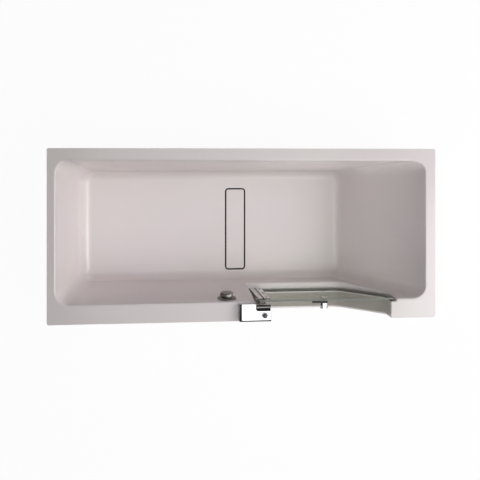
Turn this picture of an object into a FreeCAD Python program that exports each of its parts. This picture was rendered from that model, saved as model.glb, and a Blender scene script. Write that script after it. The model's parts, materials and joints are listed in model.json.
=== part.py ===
import FreeCAD, Part
import os
import re

import Sketcher

Vector = FreeCAD.Vector

# Sizes in millimetres, each set once; X runs along the bath, Y from the front to the wall, Z up.
SIZES = {
    # bath body
    "tub_length": 1700,
    "tub_width": 750,
    "floor_level": 130,
    "basin_depth": 450,
    "skin": 6,
    "rim_left": 36,
    "rim_right": 46,
    "rim_back": 53,
    "rim_front": 85,
    "draft_left": 89,
    "backrest_run": 294,
    "draft_back": 54,
    "draft_front": 45,
    "basin_corner": 55,
    "floor_fillet": 42,
    "rim_lip": 40,
    "lip_thick": 5,
    "rim_corner": 10,
    "rim_edge": 3,
    "rim_roll": 8,
    "ledge_round": 8,
    # door opening
    "door_inset": 204,
    "door_width": 560,
    "sill_drop": 305,
    "slope_run": 168,
    "slope_drop": 90,
    "jamb_corner": 12,
    "bend_corner": 60,
    "end_corner": 15,
    "landing_inset": 73,
    "rebate": 22,
    "hinge_rebate": 46,
    "rebate_corner": 2,
    "surround_lip": 28,
    # door leaf
    "seal_thick": 8,
    "seal_width": 10,
    "seal_inset": 1,
    "glass_thick": 8,
    "glass_lap": 13,
    "glass_side": 12,
    "glass_drop": 4,
    "touch_gap": 0.3,
    # hinge
    "hinge_side": 24,
    "hinge_depth": 12,
    "barrel_radius": 9.5,
    "leaf_reach": 46,
    "leaf_thick": 5,
    "pin_radius": 5,
    "bush_wall": 2,
    "run_fit": 0.05,
    "bracket_thick": 14,
    "pivot_base": 8,
    "pivot_length": 29,
    "clamp_reach": 35,
    "clamp_radius": 9,
    "clamp_thick": 3,
    "clamp_screw": 3,
    "backing_thick": 4,
    "hinge_screw": 2.5,
    # hinge block and lock
    "block_left": 119,
    "block_right": 18,
    "block_front": 2,
    "block_back": 78,
    "block_height": 28,
    "block_edge": 2.5,
    "base_thick": 3,
    "notch_left": 48,
    "notch_front": 48,
    "notch_corner": 12,
    "step_height": 17,
    "step_round": 9,
    "step_back": 71.5,
    "lock_side": 11,
    "lock_front": 30,
    "lock_knob_radius": 12.5,
    "lock_knob_height": 22,
    "spindle_radius": 4,
    "crank_throw": 5,
    "crank_radius": 8.5,
    "crank_pin": 2,
    "bolt_width": 10,
    "bolt_thick": 8,
    "yoke_half": 6,
    "slot_clear": 0.35,
    "collar_radius": 12.5,
    "collar_thick": 12,
    "collar_notch": 6,
    "door_open": 85,
    # door handle
    "handle_in": 262,
    "handle_drop": 32,
    "handle_width": 33,
    "handle_tall": 30,
    "handle_depth": 24,
    "handle_round": 4,
    "grip_round": 13,
    "lever_width": 68,
    "lever_tall": 22,
    "lever_depth": 12,
    "pull_width": 26,
    "pull_thick": 7,
    "pull_tall": 22,
    "stud_radius": 3,
    "stud_bite": 8,
    "pull_bite": 4.5,
    "washer_thick": 1,
    # drain channel and waste
    "cover_side": 87,
    "cover_back": -9,
    "cover_width": 86,
    "cover_length": 385,
    "cover_thick": 8,
    "cover_corner": 10,
    "cover_gap": 7,
    "recess_depth": 28,
    "tray_thick": 2,
    "waste_offset": 101,
    "waste_neck": 26,
    "waste_flange": 36,
    "waste_wall": 4,
    "plug_radius": 30,
    "plug_thick": 2.5,
    "plug_stem": 4,
    "trap_radius": 55,
    "trap_tall": 72,
    "trap_wall": 3,
    "outlet_radius": 20,
    "outlet_rise": 32,
    "outlet_end": 3,
    "outlet_free": 26,
    # overflow
    "overflow_side": 166,
    "overflow_drop": 60,
    "face_radius": 42,
    "face_thick": 8,
    "dial_radius": 30,
    "dial_depth": 28,
    "shaft_radius": 4,
    "overflow_bore": 26,
    "housing_deep": 38,
    "gasket_thick": 2.5,
    "pipe_radius": 14,
    "pipe_wall": 2,
    "elbow_radius": 36,
    "branch_rise": 34,
    "cable_radius": 3,
    # support frame
    "frame_tube": 25,
    "tube_wall": 2,
    "board_thick": 18,
    "post_tube": 20,
    "panel_thick": 4,
    "panel_play": 0.3,
    "panel_gap": 15,
    "panel_top": 8,
    "foot_radius": 22,
    "foot_height": 14,
    "foot_stud": 6,
    "foot_inset": 90,
    "nut_height": 10,
    "nut_radius": 11,
    "wall_hole": 4.5,
    "wall_pitch": 40,
    "wall_plate": 3,
    "wall_drop": 110,
    "wall_tall": 40,
    "panel_screw": 2,
    "screw_inset": 70,
    "bar_left": 290,
    "bar_drain": 158,
    "bar_door": 322,
    "bar_right": 150,
    "post_left": 210,
    "post_right": 105,
    "post_door": 78,
    "post_back": 26,
    "post_sill": 204,
    "board_left": 210,
    "board_right": 420,
    "board_front": 185,
    "board_back": 160,
    "block_screw": 2.5,
    "screw_one": 96,
    "screw_two": 64,
    "screw_back": 50,
}

# Places that follow from the sizes
PLACES = {
    "rim_height": "floor_level + basin_depth",
    "jamb_right": "tub_length / 2 - door_inset",
    "jamb_left": "jamb_right - door_width",
    "sill_bend": "jamb_right - slope_run",
    "handle_at": "jamb_left + handle_in",
    "cover_at": "jamb_left - cover_side",
    "overflow_at": "jamb_left - overflow_side",
    "trap_bottom": "floor_level - recess_depth - skin - trap_tall",
    "outlet_level": "trap_bottom + outlet_rise",
    "branch_level": "trap_bottom + branch_rise",
    "foot_spread": "tub_width / 2 - foot_inset",
    "wall_level": "rim_height - wall_drop",
}
CROSS_BARS = {
    "cross_bar_1": "bar_left - tub_length / 2",
    "cross_bar_2": "cover_at - bar_drain",
    "cross_bar_3": "cover_at + bar_door",
    "cross_bar_4": "tub_length / 2 - bar_right",
}
FRONT_POSTS = ["post_left - tub_length / 2", "jamb_left - post_door", "tub_length / 2 - post_right"]
BACK_POSTS = ["post_left - tub_length / 2", "jamb_left - post_back", "tub_length / 2 - post_right"]
SILL_POST = "jamb_left + post_sill"
SCREW_COUNT = 6
FRONT_SCREWS = [
    f"(tub_length / 2 - screw_inset) * {2 * i / (SCREW_COUNT - 1) - 1:.3f}" for i in range(SCREW_COUNT)
]

doc = FreeCAD.newDocument("walk_in_bath")
sheet = doc.addObject("Spreadsheet::Sheet", "Sizes")
for row, (alias, value) in enumerate(SIZES.items(), start=1):
    sheet.set(f"A{row}", alias)
    sheet.set(f"B{row}", str(value))
    sheet.setAlias(f"B{row}", alias)
doc.recompute()

WORD = re.compile(r"[A-Za-z_]\w*")
nodes = []


def bound(text):
    def name(match):
        word = match.group()
        if word in PLACES:
            return f"({bound(PLACES[word])})"
        return "Sizes." + word if word in SIZES else word

    return WORD.sub(name, str(text))


def number(text):
    value = sheet.evalExpression(bound(text))
    return float(getattr(value, "Value", value))


# Levels and planes that several pieces share
LEFT = "(-tub_length / 2)"
RIGHT = "(tub_length / 2)"
FRONT = "(-tub_width / 2)"
BACK = "(tub_width / 2)"
FLOOR = "(rim_height - basin_depth)"
RIM_UNDER = "(rim_height - skin)"
SILL = "(rim_height - sill_drop)"
SLOPE_END = "(rim_height - slope_drop)"
SLOPE = "atan((sill_drop - slope_drop) / (jamb_right - sill_bend))"
LEDGE = f"({SILL} - rebate)"
LANDING = "(landing_inset - tub_width / 2)"
GLASS_OUT = f"({LANDING} + seal_thick + touch_gap)"
GLASS_IN = f"({GLASS_OUT} + glass_thick)"
GLASS_TOP = "(rim_height - glass_drop)"
AXIS_X = "(jamb_left - hinge_side)"
AXIS_Y = f"({LANDING} + hinge_depth)"
BRACKET_TOP = "(rim_height - glass_drop)"
BRACKET_LOW = f"({BRACKET_TOP} - bracket_thick)"
BARREL_LOW = f"({LEDGE} + pivot_base + touch_gap)"
BARREL_TOP = f"({BRACKET_LOW} - touch_gap)"
LEAF_OUT = GLASS_IN
LEAF_IN = f"({LEAF_OUT} + leaf_thick)"
TILT = "atan(draft_front / basin_depth)"
OVERFLOW_Y = f"({FRONT} + rim_front + draft_front * overflow_drop / basin_depth)"
OVERFLOW_Z = "(rim_height - overflow_drop)"
RECESS = f"({FLOOR} - recess_depth)"
TRAY_TOP = f"({RECESS} + tray_thick)"
RECESS_UNDER = f"({RECESS} - skin)"
WASTE_Y = "(cover_back - waste_offset)"
BOARD_TOP = f"({FLOOR} - skin)"
TUBE_TOP = f"({BOARD_TOP} - board_thick)"
TUBE_LOW = f"({TUBE_TOP} - frame_tube)"
PANEL_OUT = "(tub_width / 2 - lip_thick - panel_play)"
PANEL_IN = f"({PANEL_OUT} - panel_thick)"
END_OUT = "(tub_length / 2 - lip_thick - panel_play)"
END_IN = f"({END_OUT} - panel_thick)"


def keep(obj, label):
    obj.Label = label
    nodes.append(obj)
    return obj


def place(obj, x, y, z):
    obj.setExpression("Placement.Base.x", bound(x))
    obj.setExpression("Placement.Base.y", bound(y))
    obj.setExpression("Placement.Base.z", bound(z))


def turn(obj, axis, angle):
    obj.Placement = FreeCAD.Placement(obj.Placement.Base, FreeCAD.Rotation(Vector(*axis), angle))


def new_body(name):
    return doc.addObject("PartDesign::Body", name)


def new_sketch(body, plane, offset="0"):
    sketch = body.newObject("Sketcher::SketchObject", body.Name + "_sketch")
    support = next(item for item in body.Origin.OriginFeatures if item.Role == plane)
    sketch.AttachmentSupport = [(support, "")]
    sketch.MapMode = "FlatFace"
    sketch.setExpression("AttachmentOffset.Base.z", bound(offset))
    return sketch


def pin_point(sketch, geometry, which, x, y):
    for kind, text in (("DistanceX", x), ("DistanceY", y)):
        index = sketch.addConstraint(Sketcher.Constraint(kind, -1, 1, geometry, which, number(text)))
        sketch.setExpression(f"Constraints[{index}]", bound(text))


def polygon(sketch, corners):
    spots = [Vector(number(x), number(y), 0) for x, y in corners]
    count = len(spots)
    first = sketch.GeometryCount
    for index in range(count):
        sketch.addGeometry(Part.LineSegment(spots[index], spots[(index + 1) % count]), False)
    for index in range(count):
        after = first + (index + 1) % count
        sketch.addConstraint(Sketcher.Constraint("Coincident", first + index, 2, after, 1))
    for index, (x, y) in enumerate(corners):
        pin_point(sketch, first + index, 1, x, y)


def circle(sketch, x, y, radius):
    centre = Vector(number(x), number(y), 0)
    index = sketch.addGeometry(Part.Circle(centre, Vector(0, 0, 1), number(radius)), False)
    pin_point(sketch, index, 3, x, y)
    rule = sketch.addConstraint(Sketcher.Constraint("Radius", index, number(radius)))
    sketch.setExpression(f"Constraints[{rule}]", bound(radius))


def pad(body, sketch, length, backward=False):
    feature = body.newObject("PartDesign::Pad", body.Name + "_pad")
    feature.Profile = sketch
    feature.setExpression("Length", bound(length))
    feature.Reversed = backward
    doc.recompute()
    return feature


def round_edges(body, test, radius):
    doc.recompute()
    base = body.Tip
    names = [f"Edge{i}" for i, edge in enumerate(base.Shape.Edges, start=1) if test(edge)]
    feature = body.newObject("PartDesign::Fillet", body.Name + "_round")
    feature.Base = (base, names)
    feature.setExpression("Radius", bound(radius))
    body.Tip = feature
    doc.recompute()


def at_corner(plane, corner):
    spot = [number(corner[0]), number(corner[1])]
    keys = {"XY_Plane": ("x", "y"), "XZ_Plane": ("x", "z"), "YZ_Plane": ("y", "z")}[plane]

    def test(edge):
        ends = [vertex.Point for vertex in edge.Vertexes]
        return len(ends) == 2 and all(
            abs(getattr(end, keys[0]) - spot[0]) < 1e-4 and abs(getattr(end, keys[1]) - spot[1]) < 1e-4
            for end in ends
        )

    return test


def at_level(level):
    height = number(level)

    def test(edge):
        return all(abs(vertex.Point.z - height) < 1e-4 for vertex in edge.Vertexes)

    return test


# A straight piece with the given outline, between two levels along the plane's own axis
def prism(name, plane, low, high, corners, rounds=()):
    body = new_body(name)
    across = plane == "XZ_Plane"
    sketch = new_sketch(body, plane, f"-({low})" if across else low)
    polygon(sketch, corners)
    pad(body, sketch, f"({high}) - ({low})", across)
    for index, radius in rounds:
        round_edges(body, at_corner(plane, corners[index]), radius)
    return body


def plate(name, xs, ys, zs, radius=None):
    corners = [(xs[0], ys[0]), (xs[1], ys[0]), (xs[1], ys[1]), (xs[0], ys[1])]
    rounds = [(index, radius) for index in range(4)] if radius else ()
    return prism(name, "XY_Plane", zs[0], zs[1], corners, rounds)


# A turned piece: half outline as radius and height
def turned(name, corners, at=("0", "0", "0")):
    body = new_body(name)
    sketch = new_sketch(body, "XZ_Plane")
    polygon(sketch, corners)
    feature = body.newObject("PartDesign::Revolution", name + "_turn")
    feature.Profile = sketch
    feature.ReferenceAxis = (sketch, ["V_Axis"])
    feature.Angle = 360
    doc.recompute()
    place(body, *at)
    return body


def box(name, xs, ys, zs):
    obj = doc.addObject("Part::Box", name)
    for prop, pair in (("Length", xs), ("Width", ys), ("Height", zs)):
        obj.setExpression(prop, bound(f"({pair[1]}) - ({pair[0]})"))
    place(obj, xs[0], ys[0], zs[0])
    return obj


TURNS = {"x": ((0, 1, 0), 90), "y": ((1, 0, 0), -90)}


def rod(name, radius, start, length, along="z"):
    obj = doc.addObject("Part::Cylinder", name)
    obj.setExpression("Radius", bound(radius))
    obj.setExpression("Height", bound(length))
    if along in TURNS:
        turn(obj, *TURNS[along])
    place(obj, *start)
    return obj


def join(name, *parts):
    obj = doc.addObject("Part::MultiFuse", name)
    obj.Shapes = list(parts)
    obj.Refine = True
    return obj


def cut(name, base, *tools):
    obj = doc.addObject("Part::Cut", name)
    obj.Base = base
    obj.Tool = tools[0] if len(tools) == 1 else join(name + "_tools", *tools)
    obj.Refine = True
    return obj


def group(name, parts):
    obj = doc.addObject("Part::Compound", name)
    obj.Links = list(parts)
    return obj


def tube(name, xs, ys, zs, along, wall="tube_wall"):
    pairs = {"x": xs, "y": ys, "z": zs}
    inner = {}
    for axis, (low, high) in pairs.items():
        if axis == along:
            inner[axis] = (f"({low}) - 1", f"({high}) + 1")
        else:
            inner[axis] = (f"({low}) + {wall}", f"({high}) - {wall}")
    outside = box(name + "_outside", xs, ys, zs)
    inside = box(name + "_inside", inner["x"], inner["y"], inner["z"])
    return cut(name, outside, inside)


# Outline of the doorway, grown outward, as seen from the front
def door_outline(grow, grow_left, top):
    side = f"jamb_left - ({grow_left})"
    low = f"{SILL} - ({grow})"
    return [
        (side, top),
        (side, low),
        (f"sill_bend + ({grow}) * tan({SLOPE} / 2)", low),
        (f"jamb_right + ({grow})", f"{SLOPE_END} - ({grow}) * tan(45 deg - {SLOPE} / 2)"),
        (f"jamb_right + ({grow})", top),
    ]


def door_prism(name, grow, grow_left, low, high, top, corner=None):
    first = corner or f"jamb_corner + {grow}"
    rounds = [(1, first), (2, f"bend_corner + {grow}"), (3, f"end_corner + {grow}")]
    return prism(name, "XZ_Plane", low, high, door_outline(grow, grow_left, top), rounds)


# Basin with four sloping walls, grown outward by the skin where asked
def wall(rim, draft, level, grow):
    lean = f"{draft} / basin_depth"
    return f"{rim} + {lean} * (rim_height - ({level})) - ({grow}) * sqrt(1 + ({lean}) ^ 2)"


def basin(name, grow, top):
    body = new_body(name)
    wedge = body.newObject("PartDesign::AdditiveWedge", name + "_wedge")
    turn(wedge, (1, 0, 0), 90)
    low = f"{FLOOR} - ({grow})"
    wedge.setExpression("Ymin", bound(low))
    wedge.setExpression("Ymax", bound(top))
    for suffix, level in (("", low), ("2", top)):
        left = wall("rim_left", "draft_left", level, grow)
        right = wall("rim_right", "backrest_run", level, grow)
        back = wall("rim_back", "draft_back", level, grow)
        front = wall("rim_front", "draft_front", level, grow)
        wedge.setExpression(f"X{suffix}min", bound(f"{LEFT} + {left}"))
        wedge.setExpression(f"X{suffix}max", bound(f"{RIGHT} - ({right})"))
        wedge.setExpression(f"Z{suffix}min", bound(f"{FRONT} + {back}"))
        wedge.setExpression(f"Z{suffix}max", bound(f"{BACK} - ({front})"))
    doc.recompute()
    body.Tip = wedge
    low_z = number(low)
    top_z = number(top)

    def upright(edge):
        ends = sorted(vertex.Point.z for vertex in edge.Vertexes)
        return abs(ends[0] - low_z) < 1e-4 and abs(ends[-1] - top_z) < 1e-4

    round_edges(body, upright, f"basin_corner + {grow}")
    round_edges(body, at_level(low), f"floor_fillet + {grow} / 2")
    return body


# Tub shell
rim_block = plate(
    "rim_block", (LEFT, RIGHT), (FRONT, BACK), ("rim_height - rim_lip", "rim_height"), "rim_corner"
)
round_edges(rim_block, at_level("rim_height"), "rim_edge")
rim_hollow = box(
    "rim_hollow",
    (f"{LEFT} + lip_thick", f"{RIGHT} - lip_thick"),
    (f"{FRONT} + lip_thick", f"{BACK} - lip_thick"),
    ("rim_height - rim_lip - 1", RIM_UNDER),
)
rim_tray = cut("rim_tray", rim_block, rim_hollow)
basin_outer = basin("basin_outer", "skin", "rim_height - skin / 2")

cavity = basin("cavity", "0", "rim_height")
lid_sketch = new_sketch(cavity, "XY_Plane", "rim_height")
polygon(
    lid_sketch,
    [
        (f"{LEFT} - 20", f"{FRONT} - 20"),
        (f"{RIGHT} + 20", f"{FRONT} - 20"),
        (f"{RIGHT} + 20", f"{BACK} + 20"),
        (f"{LEFT} - 20", f"{BACK} + 20"),
    ],
)
pad(cavity, lid_sketch, "30")


def inside_rim(edge):
    level = at_level("rim_height")(edge)
    half = number("tub_length / 2")
    return level and all(abs(vertex.Point.x) < half for vertex in edge.Vertexes)


round_edges(cavity, inside_rim, "rim_roll")

JAMB_TOP = "rim_height - rim_edge"
OVER_TOP = "rim_height + 20"
DEEP = f"{FRONT} + rim_front + 120"
reveal_block = door_prism("reveal_block", "skin", "skin", f"{FRONT} + lip_thick - 1", LANDING, JAMB_TOP)
rebate_block = door_prism(
    "rebate_block", "(rebate + skin)", "(hinge_rebate + skin)", f"{LANDING} - skin", DEEP, JAMB_TOP,
    "rebate_corner + skin",
)
lip_block = door_prism(
    "lip_block",
    "surround_lip",
    "surround_lip",
    FRONT,
    f"{FRONT} + lip_thick",
    "rim_height - rim_lip / 2",
)
opening_tool = door_prism("opening_tool", "0", "0", f"{FRONT} - 20", f"{LANDING} + 1", OVER_TOP)
rebate_tool = door_prism(
    "rebate_tool",
    "rebate",
    "hinge_rebate",
    LANDING,
    DEEP,
    OVER_TOP,
    "rebate_corner",
)

RECESS_X = ("cover_at - cover_width / 2 - cover_gap", "cover_at + cover_width / 2 + cover_gap")
RECESS_Y = ("cover_back - cover_length / 2 - cover_gap", "cover_back + cover_length / 2 + cover_gap")


def grown(pair, by):
    return (f"{pair[0]} - ({by})", f"{pair[1]} + ({by})")


recess_block = plate(
    "recess_block",
    grown(RECESS_X, "skin"),
    grown(RECESS_Y, "skin"),
    (RECESS_UNDER, f"{FLOOR} - skin / 2"),
    "cover_corner + cover_gap + skin",
)
recess_tool = plate(
    "recess_tool",
    RECESS_X,
    RECESS_Y,
    (RECESS, f"{FLOOR} + 5"),
    "cover_corner + cover_gap",
)
waste_hole = rod(
    "waste_hole",
    "waste_neck + 1",
    ("cover_at", WASTE_Y, f"{RECESS_UNDER} - 5"),
    "skin + 15",
)


# Pieces on the overflow axis, square to the sloping front wall
def on_overflow(obj):
    turn(obj, (1, 0, 0), number(TILT) - 90)
    place(obj, "overflow_at", OVERFLOW_Y, OVERFLOW_Z)
    return obj


overflow_hole = turned(
    "overflow_hole", [
        ("0", "-skin - 5"),
        ("overflow_bore", "-skin - 5"),
        ("overflow_bore", "5"),
        ("0", "5"),
    ]
)
on_overflow(overflow_hole)
shell_solid = join(
    "shell_solid", rim_tray, basin_outer, reveal_block, rebate_block, lip_block, recess_block
)
BLOCK_SCREWS = [
    ("jamb_left - screw_one", f"{FRONT} + screw_back"),
    ("jamb_left - screw_two", f"{FRONT} + screw_back"),
]
rim_screw_holes = [
    rod(f"rim_screw_hole_{i}", "block_screw + 0.2", (x, y, f"{RIM_UNDER} - 5"), "skin + 15")
    for i, (x, y) in enumerate(BLOCK_SCREWS)
]
SCREW_X = f"{AXIS_X} - 15"
BRACKET_MID = f"({BRACKET_LOW} + {BRACKET_TOP}) / 2"
LOW_SCREWS = [f"{AXIS_Y} - 6.5", f"{AXIS_Y} + 4"]
hinge_holes = [
    rod(
        "hinge_hole_top",
        "hinge_screw + 0.2",
        (SCREW_X, f"{LANDING} - skin - 1", BRACKET_MID),
        "skin + 2",
        "y",
    )
]
for i, y in enumerate(LOW_SCREWS):
    hole = rod(f"hinge_hole_{i}", "hinge_screw + 0.2", (SCREW_X, y, f"{LEDGE} - skin - 1"), "skin + 5")
    hinge_holes.append(hole)
shell_raw = cut(
    "shell_raw",
    shell_solid,
    cavity,
    opening_tool,
    rebate_tool,
    recess_tool,
    waste_hole,
    overflow_hole,
    *rim_screw_holes,
    *hinge_holes,
)
doc.recompute()


def spots(edge):
    first = edge.FirstParameter
    step = (edge.LastParameter - first) / 4
    return [edge.valueAt(first + step * index) for index in range(5)]


# Soft edges of the doorway: each test says which points belong to the edge line
def soften(name, base, test, radius):
    obj = doc.addObject("Part::Fillet", name)
    obj.Base = base
    size = number(radius)
    for index, edge in enumerate(base.Shape.Edges, start=1):
        if all(test(spot) for spot in spots(edge)):
            obj.Edges = obj.Edges + [(index, size, size)]
    doc.recompute()
    return obj


door_left = number("jamb_left - hinge_rebate - 5")
door_right = number("jamb_right + rebate + 5")
ledge_z = number(LEDGE)
rim_z = number("rim_height")
front_y = number(FRONT)
landing_y = number(LANDING)
rim_y = number(f"{FRONT} + rim_front")
lean = number("draft_front / basin_depth")


def on_ledge_line(spot):
    on_wall = abs(spot.y - rim_y - lean * (rim_z - spot.z)) < 0.02
    return on_wall and door_left < spot.x < door_right and ledge_z - 1 < spot.z < rim_z - 1


def on_doorway(depth):
    def test(spot):
        beside = door_left < spot.x < door_right and ledge_z + 5 < spot.z < rim_z - 0.1
        return beside and abs(spot.y - depth) < 0.02

    return test


def on_landing_line(spot):
    inside = number("jamb_left - 1") < spot.x < number("jamb_right + 1")
    return inside and on_doorway(landing_y)(spot)


shell_ledge = soften("shell_ledge", shell_raw, on_ledge_line, "ledge_round")
shell_front = soften("shell_front", shell_ledge, on_doorway(front_y), "rim_edge")
shell_soft = soften("shell_soft", shell_front, on_landing_line, "rim_edge")
keep(shell_soft, "tub_shell")

# Rubber seal on the landing of the doorway
SEAL_OUT = "(seal_inset + seal_width)"
seal_outer = door_prism(
    "seal_outer", SEAL_OUT, SEAL_OUT, LANDING, f"{LANDING} + seal_thick", "rim_height - rim_roll / 2"
)
seal_inner = door_prism(
    "seal_inner", "seal_inset", "seal_inset", f"{LANDING} - 1", f"{LANDING} + seal_thick + 1", OVER_TOP
)
keep(cut("seal_ring", seal_outer, seal_inner), "opening_seal")

# Door leaf: glass, hinge stile and its clamps
CLAMP_X = f"{AXIS_X} + clamp_reach"
CLAMP_LEVELS = [f"{BARREL_LOW} + 40", f"({BARREL_LOW} + {BARREL_TOP}) / 2", f"{BARREL_TOP} - 40"]
HANDLE_Z = "(rim_height - handle_drop)"
glass_raw = door_prism("glass_raw", "glass_lap", "glass_side", GLASS_OUT, GLASS_IN, GLASS_TOP)
round_edges(glass_raw, at_corner("XZ_Plane", ("jamb_right + glass_lap", GLASS_TOP)), "rim_roll")
glass_holes = [
    rod(
        f"glass_hole_{i}",
        "clamp_screw + touch_gap",
        (CLAMP_X, f"{GLASS_OUT} - 1", z),
        "glass_thick + 2",
        "y",
    )
    for i, z in enumerate(CLAMP_LEVELS)
]
glass_holes.append(
    rod(
        "glass_hole_3",
        "stud_radius + 0.6",
        ("handle_at", f"{GLASS_OUT} - 1", HANDLE_Z),
        "glass_thick + 2",
        "y",
    )
)
keep(cut("glass_cut", glass_raw, *glass_holes), "door_glass")

stile_barrel = rod(
    "stile_barrel",
    "barrel_radius",
    (AXIS_X, AXIS_Y, BARREL_LOW),
    f"{BARREL_TOP} - {BARREL_LOW}",
)
stile_leaf = box(
    "stile_leaf",
    (AXIS_X, f"{AXIS_X} + leaf_reach"),
    (LEAF_OUT, LEAF_IN),
    (BARREL_LOW, BARREL_TOP),
)
stile_low_bore = rod(
    "stile_low_bore",
    "pin_radius + bush_wall",
    (AXIS_X, AXIS_Y, f"{BARREL_LOW} - 1"),
    "pivot_length + 2",
)
stile_top_bore = rod("stile_top_bore", "pin_radius", (AXIS_X, AXIS_Y, f"{BARREL_TOP} - 32"), "40")
stile_holes = [
    rod(f"stile_hole_{i}", "clamp_screw", (CLAMP_X, f"{LEAF_OUT} - 1", z), "leaf_thick + 2", "y")
    for i, z in enumerate(CLAMP_LEVELS)
]
stile_solid = join("stile_solid", stile_barrel, stile_leaf)
keep(cut("stile_cut", stile_solid, stile_low_bore, stile_top_bore, *stile_holes), "hinge_stile")

buttons = []
screws = []
for i, z in enumerate(CLAMP_LEVELS):
    disc = rod(
        f"button_disc_{i}",
        "clamp_radius",
        (CLAMP_X, f"{GLASS_OUT} - clamp_thick", z),
        "clamp_thick",
        "y",
    )
    hole = rod(f"button_hole_{i}", "clamp_screw", (CLAMP_X, f"{GLASS_OUT} - 2", z), "5", "y")
    buttons.append(cut(f"button_{i}", disc, hole))
    shank = rod(
        f"clamp_shank_{i}",
        "clamp_screw",
        (CLAMP_X, f"{GLASS_OUT} - 2", z),
        "2 + glass_thick + leaf_thick + 0.5",
        "y",
    )
    cap = rod(f"clamp_cap_{i}", "clamp_screw + 2.5", (CLAMP_X, LEAF_IN, z), "2.5", "y")
    screws.append(join(f"clamp_screw_{i}", shank, cap))
keep(group("clamp_button_set", buttons), "clamp_buttons")
keep(group("clamp_screw_set", screws), "clamp_screws")


# Hinge plates on the doorway, rounded about the pivot so that the leaf can pass
def hinge_plate(name, low, high):
    side = "jamb_left - hinge_rebate + rebate_corner"
    corners = [
        (side, LANDING),
        (f"{AXIS_X} + barrel_radius", LANDING),
        (f"{AXIS_X} + barrel_radius", f"{AXIS_Y} + barrel_radius"),
        (side, f"{AXIS_Y} + barrel_radius"),
    ]
    return prism(name, "XY_Plane", low, high, corners, [(2, "barrel_radius - 0.1"), (3, "4")])


BUSH_RADIUS = "pin_radius + bush_wall"
bracket_raw = hinge_plate("bracket_raw", BRACKET_LOW, BRACKET_TOP)
bracket_bore = rod(
    "bracket_bore",
    BUSH_RADIUS,
    (AXIS_X, AXIS_Y, f"{BRACKET_LOW} - 1"),
    "bracket_thick + 2",
)
bracket_hole = rod("bracket_hole", "hinge_screw", (SCREW_X, f"{LANDING} - 1", BRACKET_MID), "40", "y")
keep(cut("bracket_cut", bracket_raw, bracket_bore, bracket_hole), "upper_bracket")


def ring(name, inner, outer, at, height):
    corners = [(inner, "0"), (outer, "0"), (outer, height), (inner, height)]
    return turned(name, corners, at)


keep(
    ring(
        "bush_one",
        "pin_radius + run_fit",
        BUSH_RADIUS,
        (AXIS_X, AXIS_Y, BRACKET_LOW),
        "bracket_thick",
    ),
    "upper_bush",
)
keep(
    ring("bush_two", "pin_radius + run_fit", BUSH_RADIUS, (AXIS_X, AXIS_Y, BARREL_LOW), "pivot_length"),
    "lower_bush",
)
pivot_raw = hinge_plate("pivot_raw", LEDGE, f"{LEDGE} + pivot_base")
pivot_stem = rod(
    "pivot_stem",
    "pin_radius",
    (AXIS_X, AXIS_Y, f"{LEDGE} + pivot_base - 1"),
    "pivot_length",
)
pivot_holes = [
    rod(f"pivot_hole_{i}", "hinge_screw", (SCREW_X, y, f"{LEDGE} - 1"), "pivot_base + 2")
    for i, y in enumerate(LOW_SCREWS)
]
pivot_solid = join("pivot_solid", pivot_raw, pivot_stem)
keep(cut("pivot_cut", pivot_solid, *pivot_holes), "lower_pivot")

upper_backing = box(
    "upper_backing",
    (f"{AXIS_X} - 20", f"{AXIS_X} + 14"),
    (f"{LANDING} - skin - backing_thick", f"{LANDING} - skin"),
    (f"{BRACKET_LOW} - 30", f"{BRACKET_TOP} - 4"),
)
lower_backing = box(
    "lower_backing",
    (f"{AXIS_X} - 20", f"{AXIS_X} + 14"),
    (f"{AXIS_Y} - 10", f"{AXIS_Y} + 16"),
    (f"{LEDGE} - skin - backing_thick", f"{LEDGE} - skin"),
)
upper_run = rod(
    "upper_run",
    "hinge_screw",
    (SCREW_X, f"{LANDING} - skin - backing_thick - 3", BRACKET_MID),
    "skin + backing_thick + 3 + hinge_depth + barrel_radius + 0.5",
    "y",
)
upper_cap = rod(
    "upper_cap",
    "hinge_screw + 2",
    (SCREW_X, f"{AXIS_Y} + barrel_radius", BRACKET_MID),
    "2",
    "y",
)
lower_runs = []
lower_screws = []
for i, y in enumerate(LOW_SCREWS):
    shank = rod(
        f"lower_run_{i}",
        "hinge_screw",
        (SCREW_X, y, f"{LEDGE} - skin - backing_thick - 3"),
        "skin + backing_thick + 3 + pivot_base + 0.5",
    )
    cap = rod(f"lower_cap_{i}", "hinge_screw + 2", (SCREW_X, y, f"{LEDGE} + pivot_base"), "2")
    lower_runs.append(shank)
    lower_screws.append(join(f"lower_screw_{i}", shank, cap))
upper_screw = join("upper_screw", upper_run, upper_cap)
upper_plate = cut("upper_plate", upper_backing, upper_run)
lower_plate = cut("lower_plate", lower_backing, *lower_runs)
keep(group("backing_set", [upper_plate, lower_plate]), "backing_plates")
keep(group("hinge_screw_set", [upper_screw] + lower_screws), "hinge_screws")

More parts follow.
